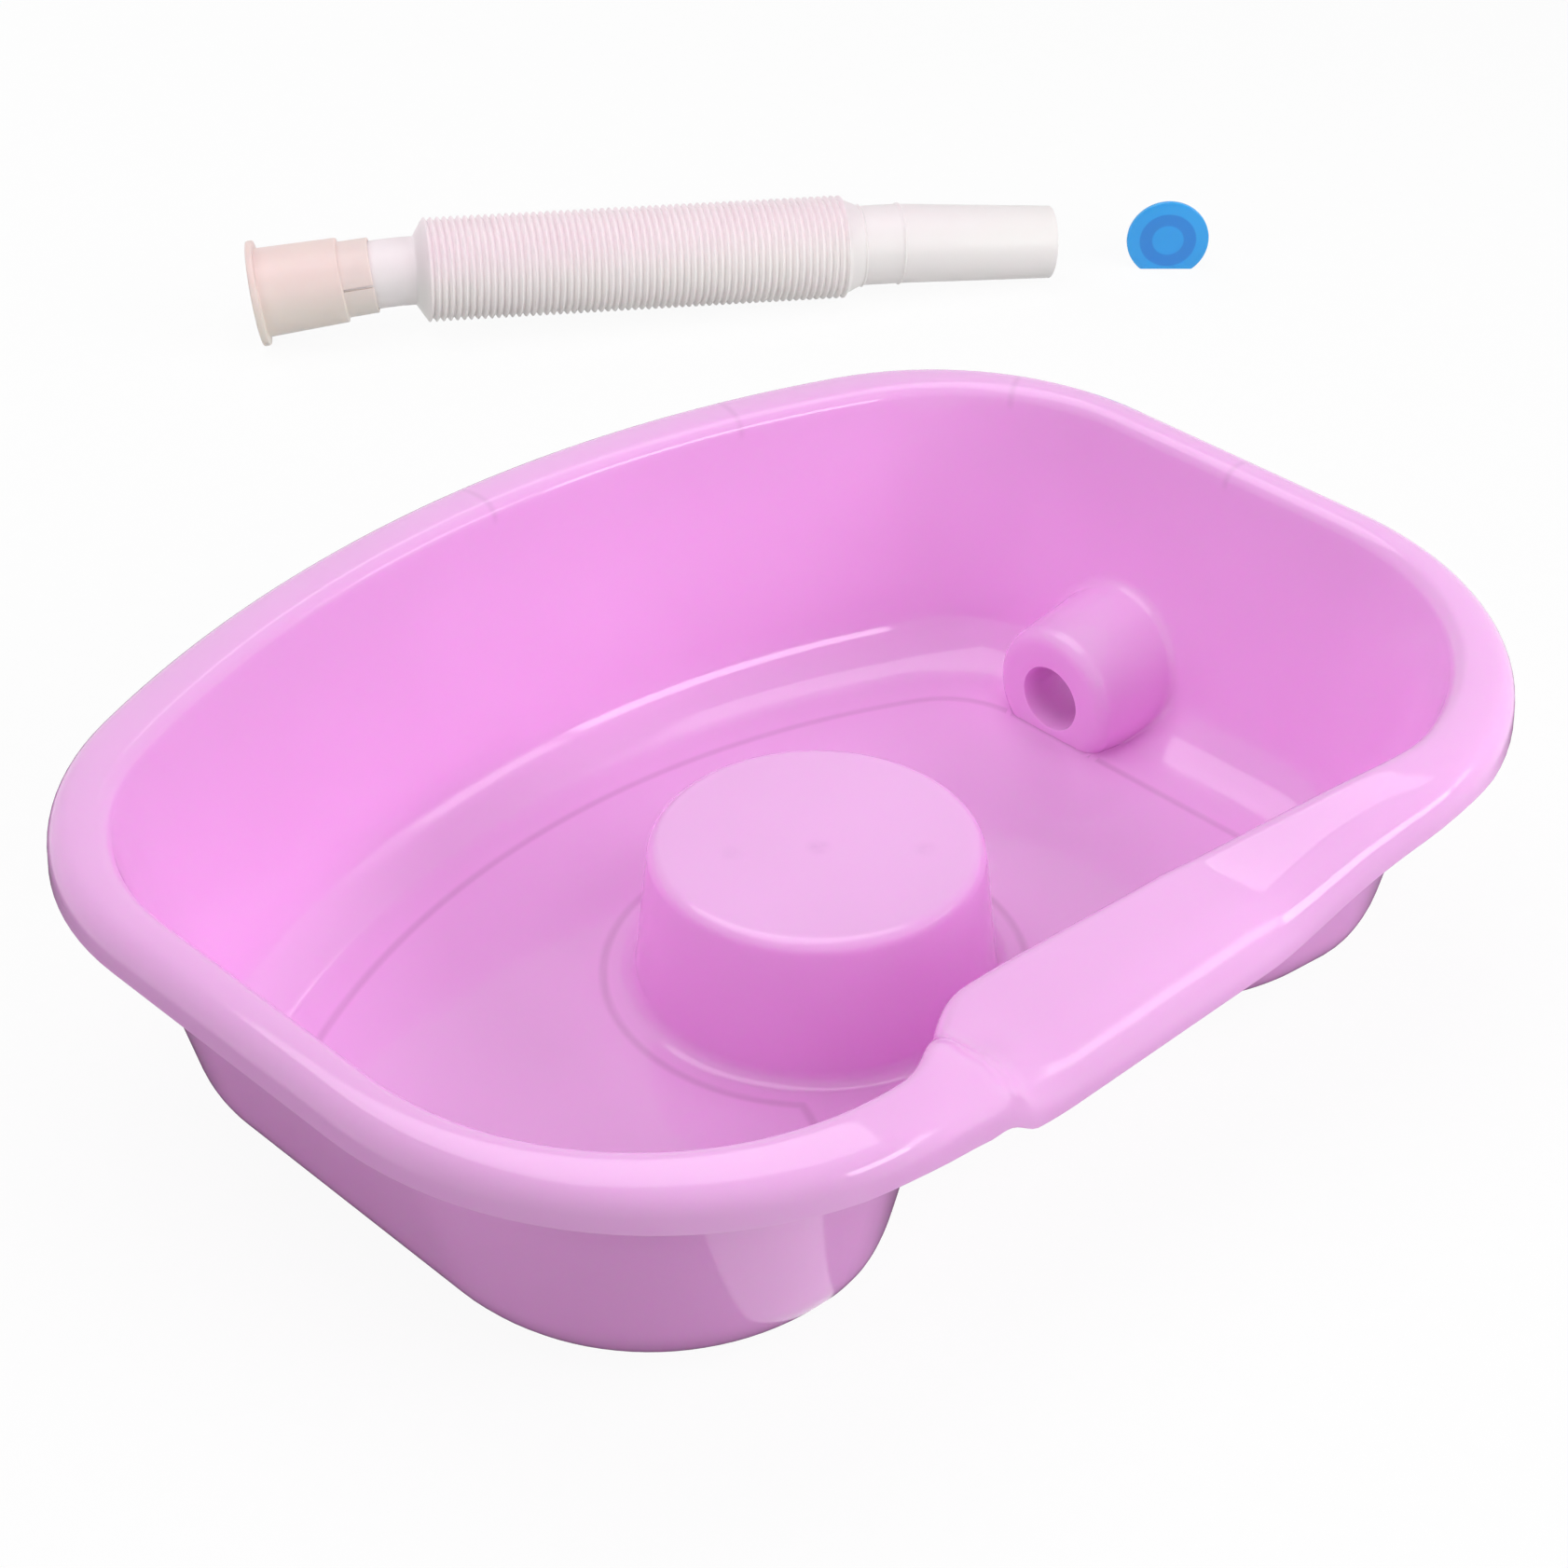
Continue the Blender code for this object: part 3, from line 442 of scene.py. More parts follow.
def rim_profile(weight, reach):
    # Way outwards and up from the inner edge, mixed between the plain rim and the neck rest.
    inner = mix(RIM["inner"], NECK["inner"], weight) + NECK_BLEND_ARC * weight * (1 - weight) * 4
    shoulder = mix(RIM["shoulder"], NECK["shoulder"], weight)
    skirt = mix(RIM["skirt"], NECK["skirt"], weight)
    first = mix(RIM["start"], NECK["start"], weight)
    second = mix(RIM["end"], NECK["end"], weight)
    taken = inner * (math.sin(WALL_HEADING) - math.sin(first))
    taken += shoulder * (math.sin(second) - math.sin(SKIRT_HEADING)) + skirt * math.cos(SKIRT_HEADING)
    crown = (reach - taken) / (math.sin(first) - math.sin(second))
    points = arc_turn((0.0, 0.0), WALL_HEADING, first, inner, INNER_STEPS)
    points += arc_turn(points[-1], first, second, crown, CROWN_STEPS)
    points += arc_turn(points[-1], second, SKIRT_HEADING, shoulder, SHOULDER_STEPS)
    end = points[-1]
    for share in (0.5, 1.0):
        points.append((end[0] + skirt * share * math.cos(SKIRT_HEADING),
                       end[1] + skirt * share * math.sin(SKIRT_HEADING)))
    return points


def pedestal_profile(height):
    # Radii and heights from the top's middle down to the floor.
    points = [(PEDESTAL_TOP * share, height) for share in PEDESTAL_TOP_SHARES]
    points += arc_points((PEDESTAL_TOP - PEDESTAL_EDGE, height - PEDESTAL_EDGE), PEDESTAL_EDGE,
                         math.pi / 2, PEDESTAL_DRAFT, PEDESTAL_ARC_STEPS)
    low = arc_points((PEDESTAL_BASE + PEDESTAL_FILLET, PEDESTAL_FILLET), PEDESTAL_FILLET,
                     math.pi + PEDESTAL_DRAFT, math.pi * 3 / 2, PEDESTAL_ARC_STEPS)
    top = points[-1]
    for share in SIDE_SHARES:
        points.append((mix(top[0], low[0][0], share), mix(top[1], low[0][1], share)))
    return points + low


def basin_rows(sizes):
    # Rings of the basin's upper surface, from the pedestal's middle to the skirt's end.
    floor = moved_in(ring_of(FLOOR), NECK_FLOOR, NECK_FLOOR_SHIFT)
    edge = moved_in(ring_of(EDGE), NECK_SHIFT, NECK_EDGE_SHIFT, NECK_EDGE_SLANT)
    outer = moved_in(ring_of(OUTER), NECK_OUTER, NECK_OUTER_SHIFT)
    dips = [neck_weight(x, y, NECK_DIPS) for x, y in edge]
    lip_dips = [neck_weight(x, y, NECK_LIPS) for x, y in outer]
    heights = [sizes.rim_height - sizes.neck_dip * weight for weight in dips]
    ways = [Vector(point).normalized() for point in floor]
    rows = []
    for radius, height in pedestal_profile(sizes.pedestal_height):
        rows.append([(way.x * radius, way.y * radius, height) for way in ways])
    foot = PEDESTAL_BASE + PEDESTAL_FILLET
    for step in range(1, FLOOR_STEPS):
        share = step / FLOOR_STEPS
        rows.append([(mix(way.x * foot, point[0], share), mix(way.y * foot, point[1], share), 0.0)
                     for way, point in zip(ways, floor)])
    for share, height_share in wall_profile(sizes.rim_height):
        rows.append([(mix(low[0], high[0], share), mix(low[1], high[1], share), top * height_share)
                     for low, high, top in zip(floor, edge, heights)])
    reaches = [Vector(far) - Vector(near) for near, far in zip(edge, outer)]
    sections = [rim_profile(weight, way.length) for weight, way in zip(dips, reaches)]
    for step in range(len(sections[0])):
        row = []
        for near, dip, lip_dip, way, section in zip(edge, dips, lip_dips, reaches, sections):
            out, up = section[step]
            share = out / way.length
            top = sizes.rim_height - sizes.neck_dip * mix(dip, lip_dip, smooth(share))
            row.append((near[0] + way.x * share, near[1] + way.y * share, top + up))
        rows.append(row)
    return rows


def new_object(name, data):
    obj = bpy.data.objects.new(name, data)
    bpy.context.scene.collection.objects.link(obj)
    return obj


def mesh_piece(name, vertices, faces):
    mesh = bpy.data.meshes.new(name)
    mesh.from_pydata(vertices, [], faces)
    mesh.update()
    return new_object(name, mesh)


def box_piece(name, low, high):
    # A box between two corners, to cut with.
    points = [(x, y, z) for z in (low[2], high[2]) for y in (low[1], high[1]) for x in (low[0], high[0])]
    return mesh_piece(name, points, BOX_FACES)


def cleaned(mesh, weld=True):
    # Joins points that coincide and turns the faces outwards.
    work = bmesh.new()
    work.from_mesh(mesh)
    if weld:
        bmesh.ops.remove_doubles(work, verts=work.verts, dist=WELD_GAP)
    bmesh.ops.recalc_face_normals(work, faces=work.faces)
    work.to_mesh(mesh)
    work.free()


def skin_faces(levels, count):
    faces = []
    for level in range(levels - 1):
        for index in range(count):
            after = (index + 1) % count
            low = level * count
            high = low + count
            faces.append((low + index, high + index, high + after, low + after))
    return faces


def stacked(name, rows, close_end=False):
    # A surface through a stack of rings, with a fan across the first one and on request a face across the last.
    count = len(rows[0])
    vertices = [point for row in rows for point in row]
    faces = skin_faces(len(rows), count)
    middle = Vector((0.0, 0.0, 0.0))
    for point in rows[0]:
        middle += Vector(point) / count
    vertices.append(tuple(middle))
    faces += [(len(vertices) - 1, index, (index + 1) % count) for index in range(count)]
    if close_end:
        start = (len(rows) - 1) * count
        faces.append(tuple(start + index for index in range(count)))
    return mesh_piece(name, vertices, faces)


def turned_piece(name, profile, steps):
    # A closed turned body about +Z from (radius, height) points; points on the axis become poles.
    vertices = []
    rings = []
    for radius, height in profile:
        count = steps if radius > 0 else 1
        rings.append([len(vertices) + step % count for step in range(steps + 1)])
        for step in range(count):
            angle = 2 * math.pi * step / steps
            vertices.append((radius * math.cos(angle), radius * math.sin(angle), height))
    pairs = list(zip(rings, rings[1:]))
    if profile[0][0] > 0:
        pairs.append((rings[-1], rings[0]))
    faces = []
    for first, second in pairs:
        for step in range(steps):
            corners = tuple(dict.fromkeys((first[step], second[step], second[step + 1], first[step + 1])))
            if len(corners) > 2:
                faces.append(corners)
    obj = mesh_piece(name, vertices, faces)
    cleaned(obj.data, weld=False)
    return obj


def evaluated_mesh(obj):
    bpy.context.view_layer.update()
    graph = bpy.context.evaluated_depsgraph_get()
    mesh = bpy.data.meshes.new_from_object(obj.evaluated_get(graph))
    mesh.transform(obj.matrix_world)
    return mesh


def settle(obj):
    # Turns the evaluated object into a plain mesh whose place is in its points.
    obj.data = evaluated_mesh(obj)
    obj.modifiers.clear()
    obj.matrix_world = Matrix.Identity(4)


def combine(obj, other, operation):
    # Joins or cuts with the fast manifold solver, and drops the helper.
    step = obj.modifiers.new("Combine", "BOOLEAN")
    step.solver = "MANIFOLD"
    step.operation = operation
    step.object = other
    settle(obj)
    bpy.data.objects.remove(other, do_unlink=True)


def smooth_look(obj, material):
    obj.data.materials.clear()
    obj.data.materials.append(material)
    obj.data.polygons.foreach_set("material_index", [0] * len(obj.data.polygons))
    obj.data.shade_smooth()
    obj.data.set_sharp_from_angle(angle=SHARP_ANGLE)
    obj.data.update()


def rounded(points, radius):
    # The closed profile with each corner off the axis cut by a small arc-like curve.
    result = []
    count = len(points)
    for index, point in enumerate(points):
        now = Vector(point)
        if now.x <= 0:
            result.append(point)
            continue
        into = Vector(points[index - 1]) - now
        out = Vector(points[(index + 1) % count]) - now
        reach = min(radius, into.length * CORNER_LIMIT, out.length * CORNER_LIMIT)
        first = now + into.normalized() * reach
        last = now + out.normalized() * reach
        for step in range(CORNER_STEPS + 1):
            share = step / CORNER_STEPS
            spot = first.lerp(now, share).lerp(now.lerp(last, share), share)
            result.append((spot.x, spot.y))
    return result


def at_boss(name, profile, steps):
    # A turned body on the drain's axis, measured from the boss's face.
    obj = turned_piece(name, profile, steps)
    obj.matrix_world = Matrix.Translation((BOSS_X, DRAIN_Y, DRAIN_Z)) @ Matrix.Rotation(-math.pi / 2, 4, "Y")
    return obj


def rib_path():
    # Closed plan path: round the pedestal, out along a leg, and round the floor's edge.
    bend = arc_points((0.0, 0.0), RIB_BEND, math.pi / 2, RIB_LEAVE, RIB_BEND_STEPS)
    floor = moved_in(ring_of(FLOOR), NECK_FLOOR, NECK_FLOOR_SHIFT)
    loop = widened(floor, -RIB_INSET)
    half = len(loop) // 2
    right = [point for point in loop[:half + 1] if point[0] > RIB_LEG_X or point[1] > 0]
    joint = (RIB_LEG_X, (bend[-1][1] + right[0][1]) / 2)
    side = bend + [joint] + right
    return side + [(-x, y) for x, y in side[1:-1]][::-1]


def sweep_tree(name, curve, lengths, counts=()):
    # A Geometry Nodes tree that takes a curve, lengths, counts and a material under their own names.
    tree = bpy.data.node_groups.new(name, "GeometryNodeTree")
    add = tree.interface.new_socket
    add(name=curve, in_out="INPUT", socket_type="NodeSocketGeometry")
    for label, value in lengths:
        item = add(name=label, in_out="INPUT", socket_type="NodeSocketFloat")
        item.default_value = value
        item.subtype = "DISTANCE"
    for label, value in counts:
        add(name=label, in_out="INPUT", socket_type="NodeSocketInt").default_value = value
    add(name="Material", in_out="INPUT", socket_type="NodeSocketMaterial")
    add(name="Mesh", in_out="OUTPUT", socket_type="NodeSocketGeometry")
    return tree, tree.nodes.new("NodeGroupInput").outputs


def finish_sweep(tree, given, curve, section, scale=None):
    # Sweeps the section along the curve, makes the result real and gives it its material.
    sweep, real, paint, out = (tree.nodes.new(kind) for kind in (
        "GeometryNodeCurveToMesh", "GeometryNodeRealizeInstances", "GeometryNodeSetMaterial", "NodeGroupOutput"))
    link = tree.links.new
    link(curve, sweep.inputs["Curve"])
    link(section, sweep.inputs["Profile Curve"])
    if scale is not None:
        link(scale, sweep.inputs["Scale"])
    link(sweep.outputs["Mesh"], real.inputs["Geometry"])
    link(real.outputs["Geometry"], paint.inputs["Geometry"])
    link(given["Material"], paint.inputs["Material"])
    link(paint.outputs["Geometry"], out.inputs["Mesh"])
    return tree


def foot_rib_tree():
    # Sweeps the foot rib's section along its path.
    tree, given = sweep_tree("Foot rib", "Path", (("Width", RIB_WIDTH), ("Height", FLOOR_Z)))
    section = tree.nodes.new("GeometryNodeCurvePrimitiveQuadrilateral")
    for side in ("Width", "Height"):
        tree.links.new(given[side], section.inputs[side])
    return finish_sweep(tree, given, given["Path"], section.outputs["Curve"])


def socket_id(tree, name):
    for item in tree.interface.items_tree:
        if item.item_type == "SOCKET" and item.in_out == "INPUT" and item.name == name:
            return item.identifier
    raise RuntimeError("no input named " + name)


def run_tree(obj, tree, values):
    # Swaps a curve for the mesh that the node tree makes of it.
    step = obj.modifiers.new("Make", "NODES")
    step.node_group = tree
    for name, value in values.items():
        step[socket_id(tree, name)] = value
    obj.update_tag()
    made = new_object(obj.name + "_mesh", evaluated_mesh(obj))
    bpy.data.objects.remove(obj, do_unlink=True)
    return made


def path_curve(name, points, radii=None, cyclic=False):
    curve = bpy.data.curves.new(name, "CURVE")
    curve.dimensions = "3D"
    curve.twist_mode = "Z_UP"
    spline = curve.splines.new("POLY")
    spline.points.add(len(points) - 1)
    for index, point in enumerate(points):
        spline.points[index].co = (*point, 1.0)
        if radii:
            spline.points[index].radius = radii[index]
    spline.use_cyclic_u = cyclic
    return new_object(name, curve)


def feed(tree, socket, value):
    # Links another node's output to the input, or sets the input to a number or a colour.
    if isinstance(value, bpy.types.NodeSocket):
        tree.links.new(value, socket)
    elif isinstance(value, (int, float)):
        socket.default_value = value
    else:
        socket.default_value = (*value, 1.0)


def math_node(tree, operation, *values):
    node = tree.nodes.new("ShaderNodeMath")
    node.operation = operation
    for socket, value in zip(node.inputs, values):
        feed(tree, socket, value)
    return node.outputs[0]


def noise_node(tree, vector, scale, detail=2.0, roughness=0.5):
    node = tree.nodes.new("ShaderNodeTexNoise")
    node.inputs["Scale"].default_value = scale
    node.inputs["Detail"].default_value = detail
    node.inputs["Roughness"].default_value = roughness
    tree.links.new(vector, node.inputs["Vector"])
    return node.outputs["Fac"]


def range_node(tree, value, low, high, to_low, to_high):
    node = tree.nodes.new("ShaderNodeMapRange")
    node.interpolation_type = "SMOOTHSTEP"
    for name, number in (("From Min", low), ("From Max", high), ("To Min", to_low), ("To Max", to_high)):
        node.inputs[name].default_value = number
    tree.links.new(value, node.inputs["Value"])
    return node.outputs["Result"]


def mix_colour(tree, factor, first, second):
    node = tree.nodes.new("ShaderNodeMix")
    node.data_type = "RGBA"
    for index, value in ((0, factor), (6, first), (7, second)):
        feed(tree, node.inputs[index], value)
    return node.outputs[2]


def split_node(tree, vector):
    node = tree.nodes.new("ShaderNodeSeparateXYZ")
    tree.links.new(vector, node.inputs["Vector"])
    return node.outputs


def bump_node(tree, height, strength, distance):
    node = tree.nodes.new("ShaderNodeBump")
    node.inputs["Strength"].default_value = strength
    node.inputs["Distance"].default_value = distance
    tree.links.new(height, node.inputs["Height"])
    return node


def own_value(tree, name):
    # A number that the mesh stores for each of its points.
    node = tree.nodes.new("ShaderNodeAttribute")
    node.attribute_name = name
    return node.outputs["Fac"]


def object_coordinates(tree):
    return tree.nodes.new("ShaderNodeTexCoord").outputs["Object"]


def scaled(colour, amount):
    return tuple(min(1.0, channel * amount) for channel in colour)


def spot_mask(tree, place, spot, radius):
    # 1 at a spot of the pedestal's top, fading to 0 at the radius.
    gap = tree.nodes.new("ShaderNodeVectorMath")
    gap.operation = "DISTANCE"
    tree.links.new(place, gap.inputs[0])
    gap.inputs[1].default_value = spot
    return range_node(tree, gap.outputs["Value"], radius * 0.15, radius, 1.0, 0.0)


def gusset_shade_mask(tree, place, x, y, heading):
    # A short bar of painted shade across the rim, where a gusset under it shows through.
    turned = tree.nodes.new("ShaderNodeMapping")
    turned.vector_type = "TEXTURE"
    turned.inputs["Location"].default_value = (x, y, GUSSET_LEVEL)
    turned.inputs["Rotation"].default_value = (0.0, 0.0, heading)
    tree.links.new(place, turned.inputs["Vector"])
    split = split_node(tree, turned.outputs["Vector"])
    beside, beyond = (math_node(tree, "ABSOLUTE", split[name]) for name in "YX")
    across = range_node(tree, beside, 0.0, GUSSET_WIDTH, GUSSET_SHADE_STRENGTH, 0.0)
    along = range_node(tree, beyond, GUSSET_REACH * 0.7, GUSSET_REACH, 1.0, 0.0)
    up = range_node(tree, split["Z"], -GUSSET_DROP * 2, -GUSSET_DROP, 0.0, 1.0)
    return math_node(tree, "MULTIPLY", math_node(tree, "MULTIPLY", across, along), up)


def start_plastic(name):
    material = bpy.data.materials.new(name)
    material.use_nodes = True
    return material, material.node_tree, object_coordinates(material.node_tree)


def finish_plastic(material, place, base, wear, look):
    # Links the colour, and sets roughness by wear, fine grain and how far light goes under the surface.
    tree = material.node_tree
    shader = tree.nodes["Principled BSDF"].inputs
    tree.links.new(base, shader["Base Color"])
    tree.links.new(range_node(tree, wear, 0.3, 0.7, *look["roughness"]), shader["Roughness"])
    fine = bump_node(tree, noise_node(tree, place, look["grain"], 1.0), look["grain_depth"], GRAIN_HEIGHT)
    tree.links.new(fine.outputs["Normal"], shader["Normal"])
    shader["Subsurface Weight"].default_value = look["under"]
    shader["Subsurface Radius"].default_value = look["under_radius"]
    shader["Subsurface Scale"].default_value = look["under_scale"]
    return fine


def basin_material(colour):
    # Glossy pink moulding: soft colour drift, a painted shade line where the foot rib backs the floor, fine orange
    # peel.
    material, tree, place = start_plastic("basin_plastic")
    drift = range_node(tree, noise_node(tree, place, 3.5, 3.0), 0.35, 0.65, 0.0, 1.0)
    base = mix_colour(tree, drift, scaled(colour, 0.97), scaled(colour, 1.03))
    # Painted shade: the floor darkens along the foot rib's middle line, where the rib backs it.
    line = range_node(tree, own_value(tree, "rib_distance"), RIB_WIDTH * 0.15, RIB_WIDTH * 1.2, RIB_SHADE_STRENGTH, 0.0)
    base = mix_colour(tree, line, base, scaled(colour, RIB_SHADE))
    patchy = range_node(tree, noise_node(tree, place, 260.0, 2.0), 0.35, 0.65, 0.5, 1.0)
    for x, y, depth in GATE_MARKS:
        mark = spot_mask(tree, place, (x, y, PEDESTAL_LEVEL), GATE_MARK_RADIUS)
        share = math_node(tree, "MULTIPLY", math_node(tree, "MULTIPLY", mark, patchy), depth)
        base = mix_colour(tree, share, base, GATE_MARK_COLOUR)
    # Painted shade: a darker bar where each gusset under the rim shows through.
    for x, y, heading in GUSSETS:
        base = mix_colour(tree, gusset_shade_mask(tree, place, x, y, heading), base, scaled(colour, GUSSET_SHADE))
    fine = finish_plastic(material, place, base, noise_node(tree, place, 28.0, 4.0, 0.6), BASIN_LOOK)
    wave = bump_node(tree, noise_node(tree, place, 22.0, 1.0), WAVE_DEPTH, WAVE_HEIGHT)
    tree.links.new(wave.outputs["Normal"], fine.inputs["Normal"])
    return material


def milky_material(name, colour, look):
    # Milky plastic in two tones by height, with faint cloudiness in the finish's colour.
    material, tree, place = start_plastic(name)
    high = range_node(tree, split_node(tree, place)["Z"], *look["levels"], 0.0, 1.0)
    base = mix_colour(tree, high, look["below"], look["above"])
    cloud = noise_node(tree, place, look["cloud"], 3.0)
    share = range_node(tree, cloud, 0.4, 0.7, 0.0, look["cloud_share"])
    base = mix_colour(tree, share, base, scaled(colour, look["cloud_gain"]))
    finish_plastic(material, place, base, cloud, look)
    return material


def stopper_frame():
    place = Matrix.Translation((STOPPER_PLACE[0], STOPPER_PLACE[1], STOPPER_FLAT))
    return place @ Matrix.Rotation(STOPPER_HEADING, 4, "Z") @ Matrix.Rotation(math.pi / 2, 4, "Y")


def stopper_material(colour):
    # Clear blue, with painted shade: the plug and its core behind the disc are painted on it as darker rings.
    material, tree, place = start_plastic("stopper_plastic")
    radius = own_value(tree, "plug_radius")
    base = tuple(colour)
    for edge, tint in ((PLUG_ROOT, PLUG_SHADE_TINT), (PLUG_CORE, CORE_SHADE_TINT)):
        inside = range_node(tree, radius, edge - PLUG_BLUR, edge + PLUG_BLUR, 1.0, 0.0)
        base = mix_colour(tree, inside, base, tuple(map(math.prod, zip(colour, tint))))
    finish_plastic(material, place, base, noise_node(tree, place, 120.0, 3.0), STOPPER_LOOK)
    return material


def store_float(mesh, name, values):
    mesh.attributes.new(name, "FLOAT", "POINT").data.foreach_set("value", values)


def rib_finder():
    # Closely spaced points of the foot rib's middle line, in a tree that finds the nearest.
    path = [Vector((x, y, 0.0)) for x, y in rib_path()]
    spots = []
    for first, second in zip(path, path[1:] + path[:1]):
        count = max(1, math.ceil((second - first).length / RIB_SAMPLE))
        spots += [first.lerp(second, step / count) for step in range(count)]
    finder = KDTree(len(spots))
    for index, spot in enumerate(spots):
        finder.insert(spot, index)
    finder.balance()
    return finder


def rib_distances(mesh):
    # For each point of the floor's skin, how far it lies in plan from the foot rib's middle line.
    finder = rib_finder()
    far = RIB_WIDTH * 8
    values = []
    for x, y, z in (vertex.co for vertex in mesh.vertices):
        values.append(far if abs(z) > RIB_SAMPLE else min(far, finder.find((x, y, 0.0))[2]))
    return values


def refine_rib_band(obj):
    # Gives the floor's upper skin small faces where the foot rib backs it, so the painted shade line there stays fine.
    finder = rib_finder()
    work = bmesh.new()
    work.from_mesh(obj.data)
    for reach in RIB_BANDS:
        chosen = set()
        for face in work.faces:
            if face.normal.z < 0.99:
                continue
            middle = face.calc_center_median()
            if abs(middle.z) < RIB_SAMPLE and finder.find((middle.x, middle.y, 0.0))[2] < reach:
                chosen.update(face.edges)
        bmesh.ops.subdivide_edges(work, edges=list(chosen), cuts=1, use_grid_fill=True)
    work.to_mesh(obj.data)
    work.free()


def bowl_finder(sizes):
    # The bowl's upper skin, to find where the drain boss meets it.
    rows = basin_rows(sizes)
    vertices = [point for row in rows for point in row]
    return BVHTree.FromPolygons(vertices, skin_faces(len(rows), len(rows[0])))


def boss_body(sizes):
    # The drain boss: a rounded face, a drafted side and a flare that runs out into the wall.
    finder = bowl_finder(sizes)
    middle = sizes.wall / 2

    def reach(y, z):
        hit = finder.ray_cast(Vector((BOSS_X - BOSS_EDGE, y, max(z, BOSS_LOW))), Vector((1.0, 0.0, 0.0)))
        return hit[0].x

    def place(radius, angle):
        return DRAIN_Y + radius * math.cos(angle), max(DRAIN_Z + radius * math.sin(angle), -middle)

    angles = [2 * math.pi * step / BOSS_SIDES for step in range(BOSS_SIDES)]
    face = arc_points((BOSS_FACE - BOSS_ROUND, -BOSS_ROUND), BOSS_ROUND, math.pi / 2, 0.0, BOSS_ROUND_STEPS)
    rings = [[(BOSS_X - back, *place(radius, angle)) for angle in angles] for radius, back in face]
    draft = (BOSS_BASE - BOSS_FACE) / BOSS_DEPTH
    flares = []
    for angle in angles:
        y, z = place(BOSS_FACE, angle)
        flare = mix(BOSS_FLARE_LOW, BOSS_FLARE, smooth((z - BOSS_LOW) / BOSS_FLARE_RISE))
        wide = BOSS_FACE + draft * (reach(y, z) - BOSS_X)
        flares.append((angle, flare, wide, reach(*place(wide, angle)) - flare))
    for share in (*SIDE_SHARES, 1.0):
        rings.append([(mix(BOSS_X + BOSS_ROUND, stop, share), *place(mix(BOSS_FACE, wide, share), angle))
                      for angle, flare, wide, stop in flares])
    for turn in map(math.radians, BOSS_FLARE_TURNS):
        ring = []
        for angle, flare, wide, stop in flares:
            y, z = place(wide + flare * (1 - math.cos(turn)), angle)
            ring.append((reach(y, z) - flare * (1 - math.sin(turn)), y, z))
        rings.append(ring)
    for share, sink in BOSS_ROOT:
        ring = []
        for angle, flare, wide, stop in flares:
            y, z = place((wide + flare) * share, angle)
            ring.append((reach(y, z) + middle * sink, y, z))
        rings.append(ring)
    obj = stacked("boss", rings, close_end=True)
    cleaned(obj.data, weld=False)
    return obj


def hose_matrix():
    turn = Matrix.Rotation(HOSE_HEADING, 4, "Z") @ Matrix.Rotation(HOSE_TILT, 4, "Y")
    return Matrix.Translation(HOSE_START) @ turn


def neck_matrix():
    return hose_matrix() @ Matrix.Rotation(NECK_BEND_SIDE, 4, "X")


def neck_points():
    # From the bellows back to the end inside the collar, in the neck's frame.
    points = [Vector((-FIT_GAP, 0.0, 0.0)), Vector((-FIT_GAP - NECK_CONE, 0.0, 0.0))]
    radius = (NECK_VISIBLE - NECK_CONE) / NECK_BEND
    start = points[-1]
    for step in range(1, NECK_BEND_STEPS + 1):
        angle = NECK_BEND * step / NECK_BEND_STEPS
        points.append(start + Vector((-radius * math.sin(angle), radius * (1 - math.cos(angle)), 0.0)))
    heading = Vector((-math.cos(NECK_BEND), math.sin(NECK_BEND), 0.0))
    points.append(points[-1] + heading * NECK_INSERT)
    return points, heading


def hose_route():
    # Stations along the whole hose: point in the part's frame, outer radius and bore radius.
    points = neck_points()[0]
    place = neck_matrix()
    stations = [(place @ point, NECK_RADIUS, NECK_BORE) for point in reversed(points[1:])]
    cuff = BELLOWS_LENGTH + FIT_GAP + TAIL_CONE
    end = cuff + CUFF_LENGTH
    high = HOSE_START[2] - end * math.sin(HOSE_TILT)
    droop = math.asin((high - SLEEVE_END - FIT_GAP) / SLEEVE_LENGTH) - HOSE_TILT
    tip = (end + SLEEVE_LENGTH * math.cos(droop), -SLEEVE_LENGTH * math.sin(droop))
    lie = hose_matrix()
    for (along, up), radius, bore in (
        ((0.0, 0.0), BELLOWS_ROOT, BELLOWS_BORE),
        ((BELLOWS_LENGTH, 0.0), BELLOWS_ROOT, BELLOWS_BORE),
        ((cuff, 0.0), CUFF_RADIUS, CUFF_RADIUS - TAIL_WALL),
        ((end, 0.0), CUFF_RADIUS, CUFF_RADIUS - TAIL_WALL),
        (tip, SLEEVE_END, SLEEVE_END - TAIL_WALL),
    ):
        stations.append((lie @ Vector((along, 0.0, up)), radius, bore))
    return stations


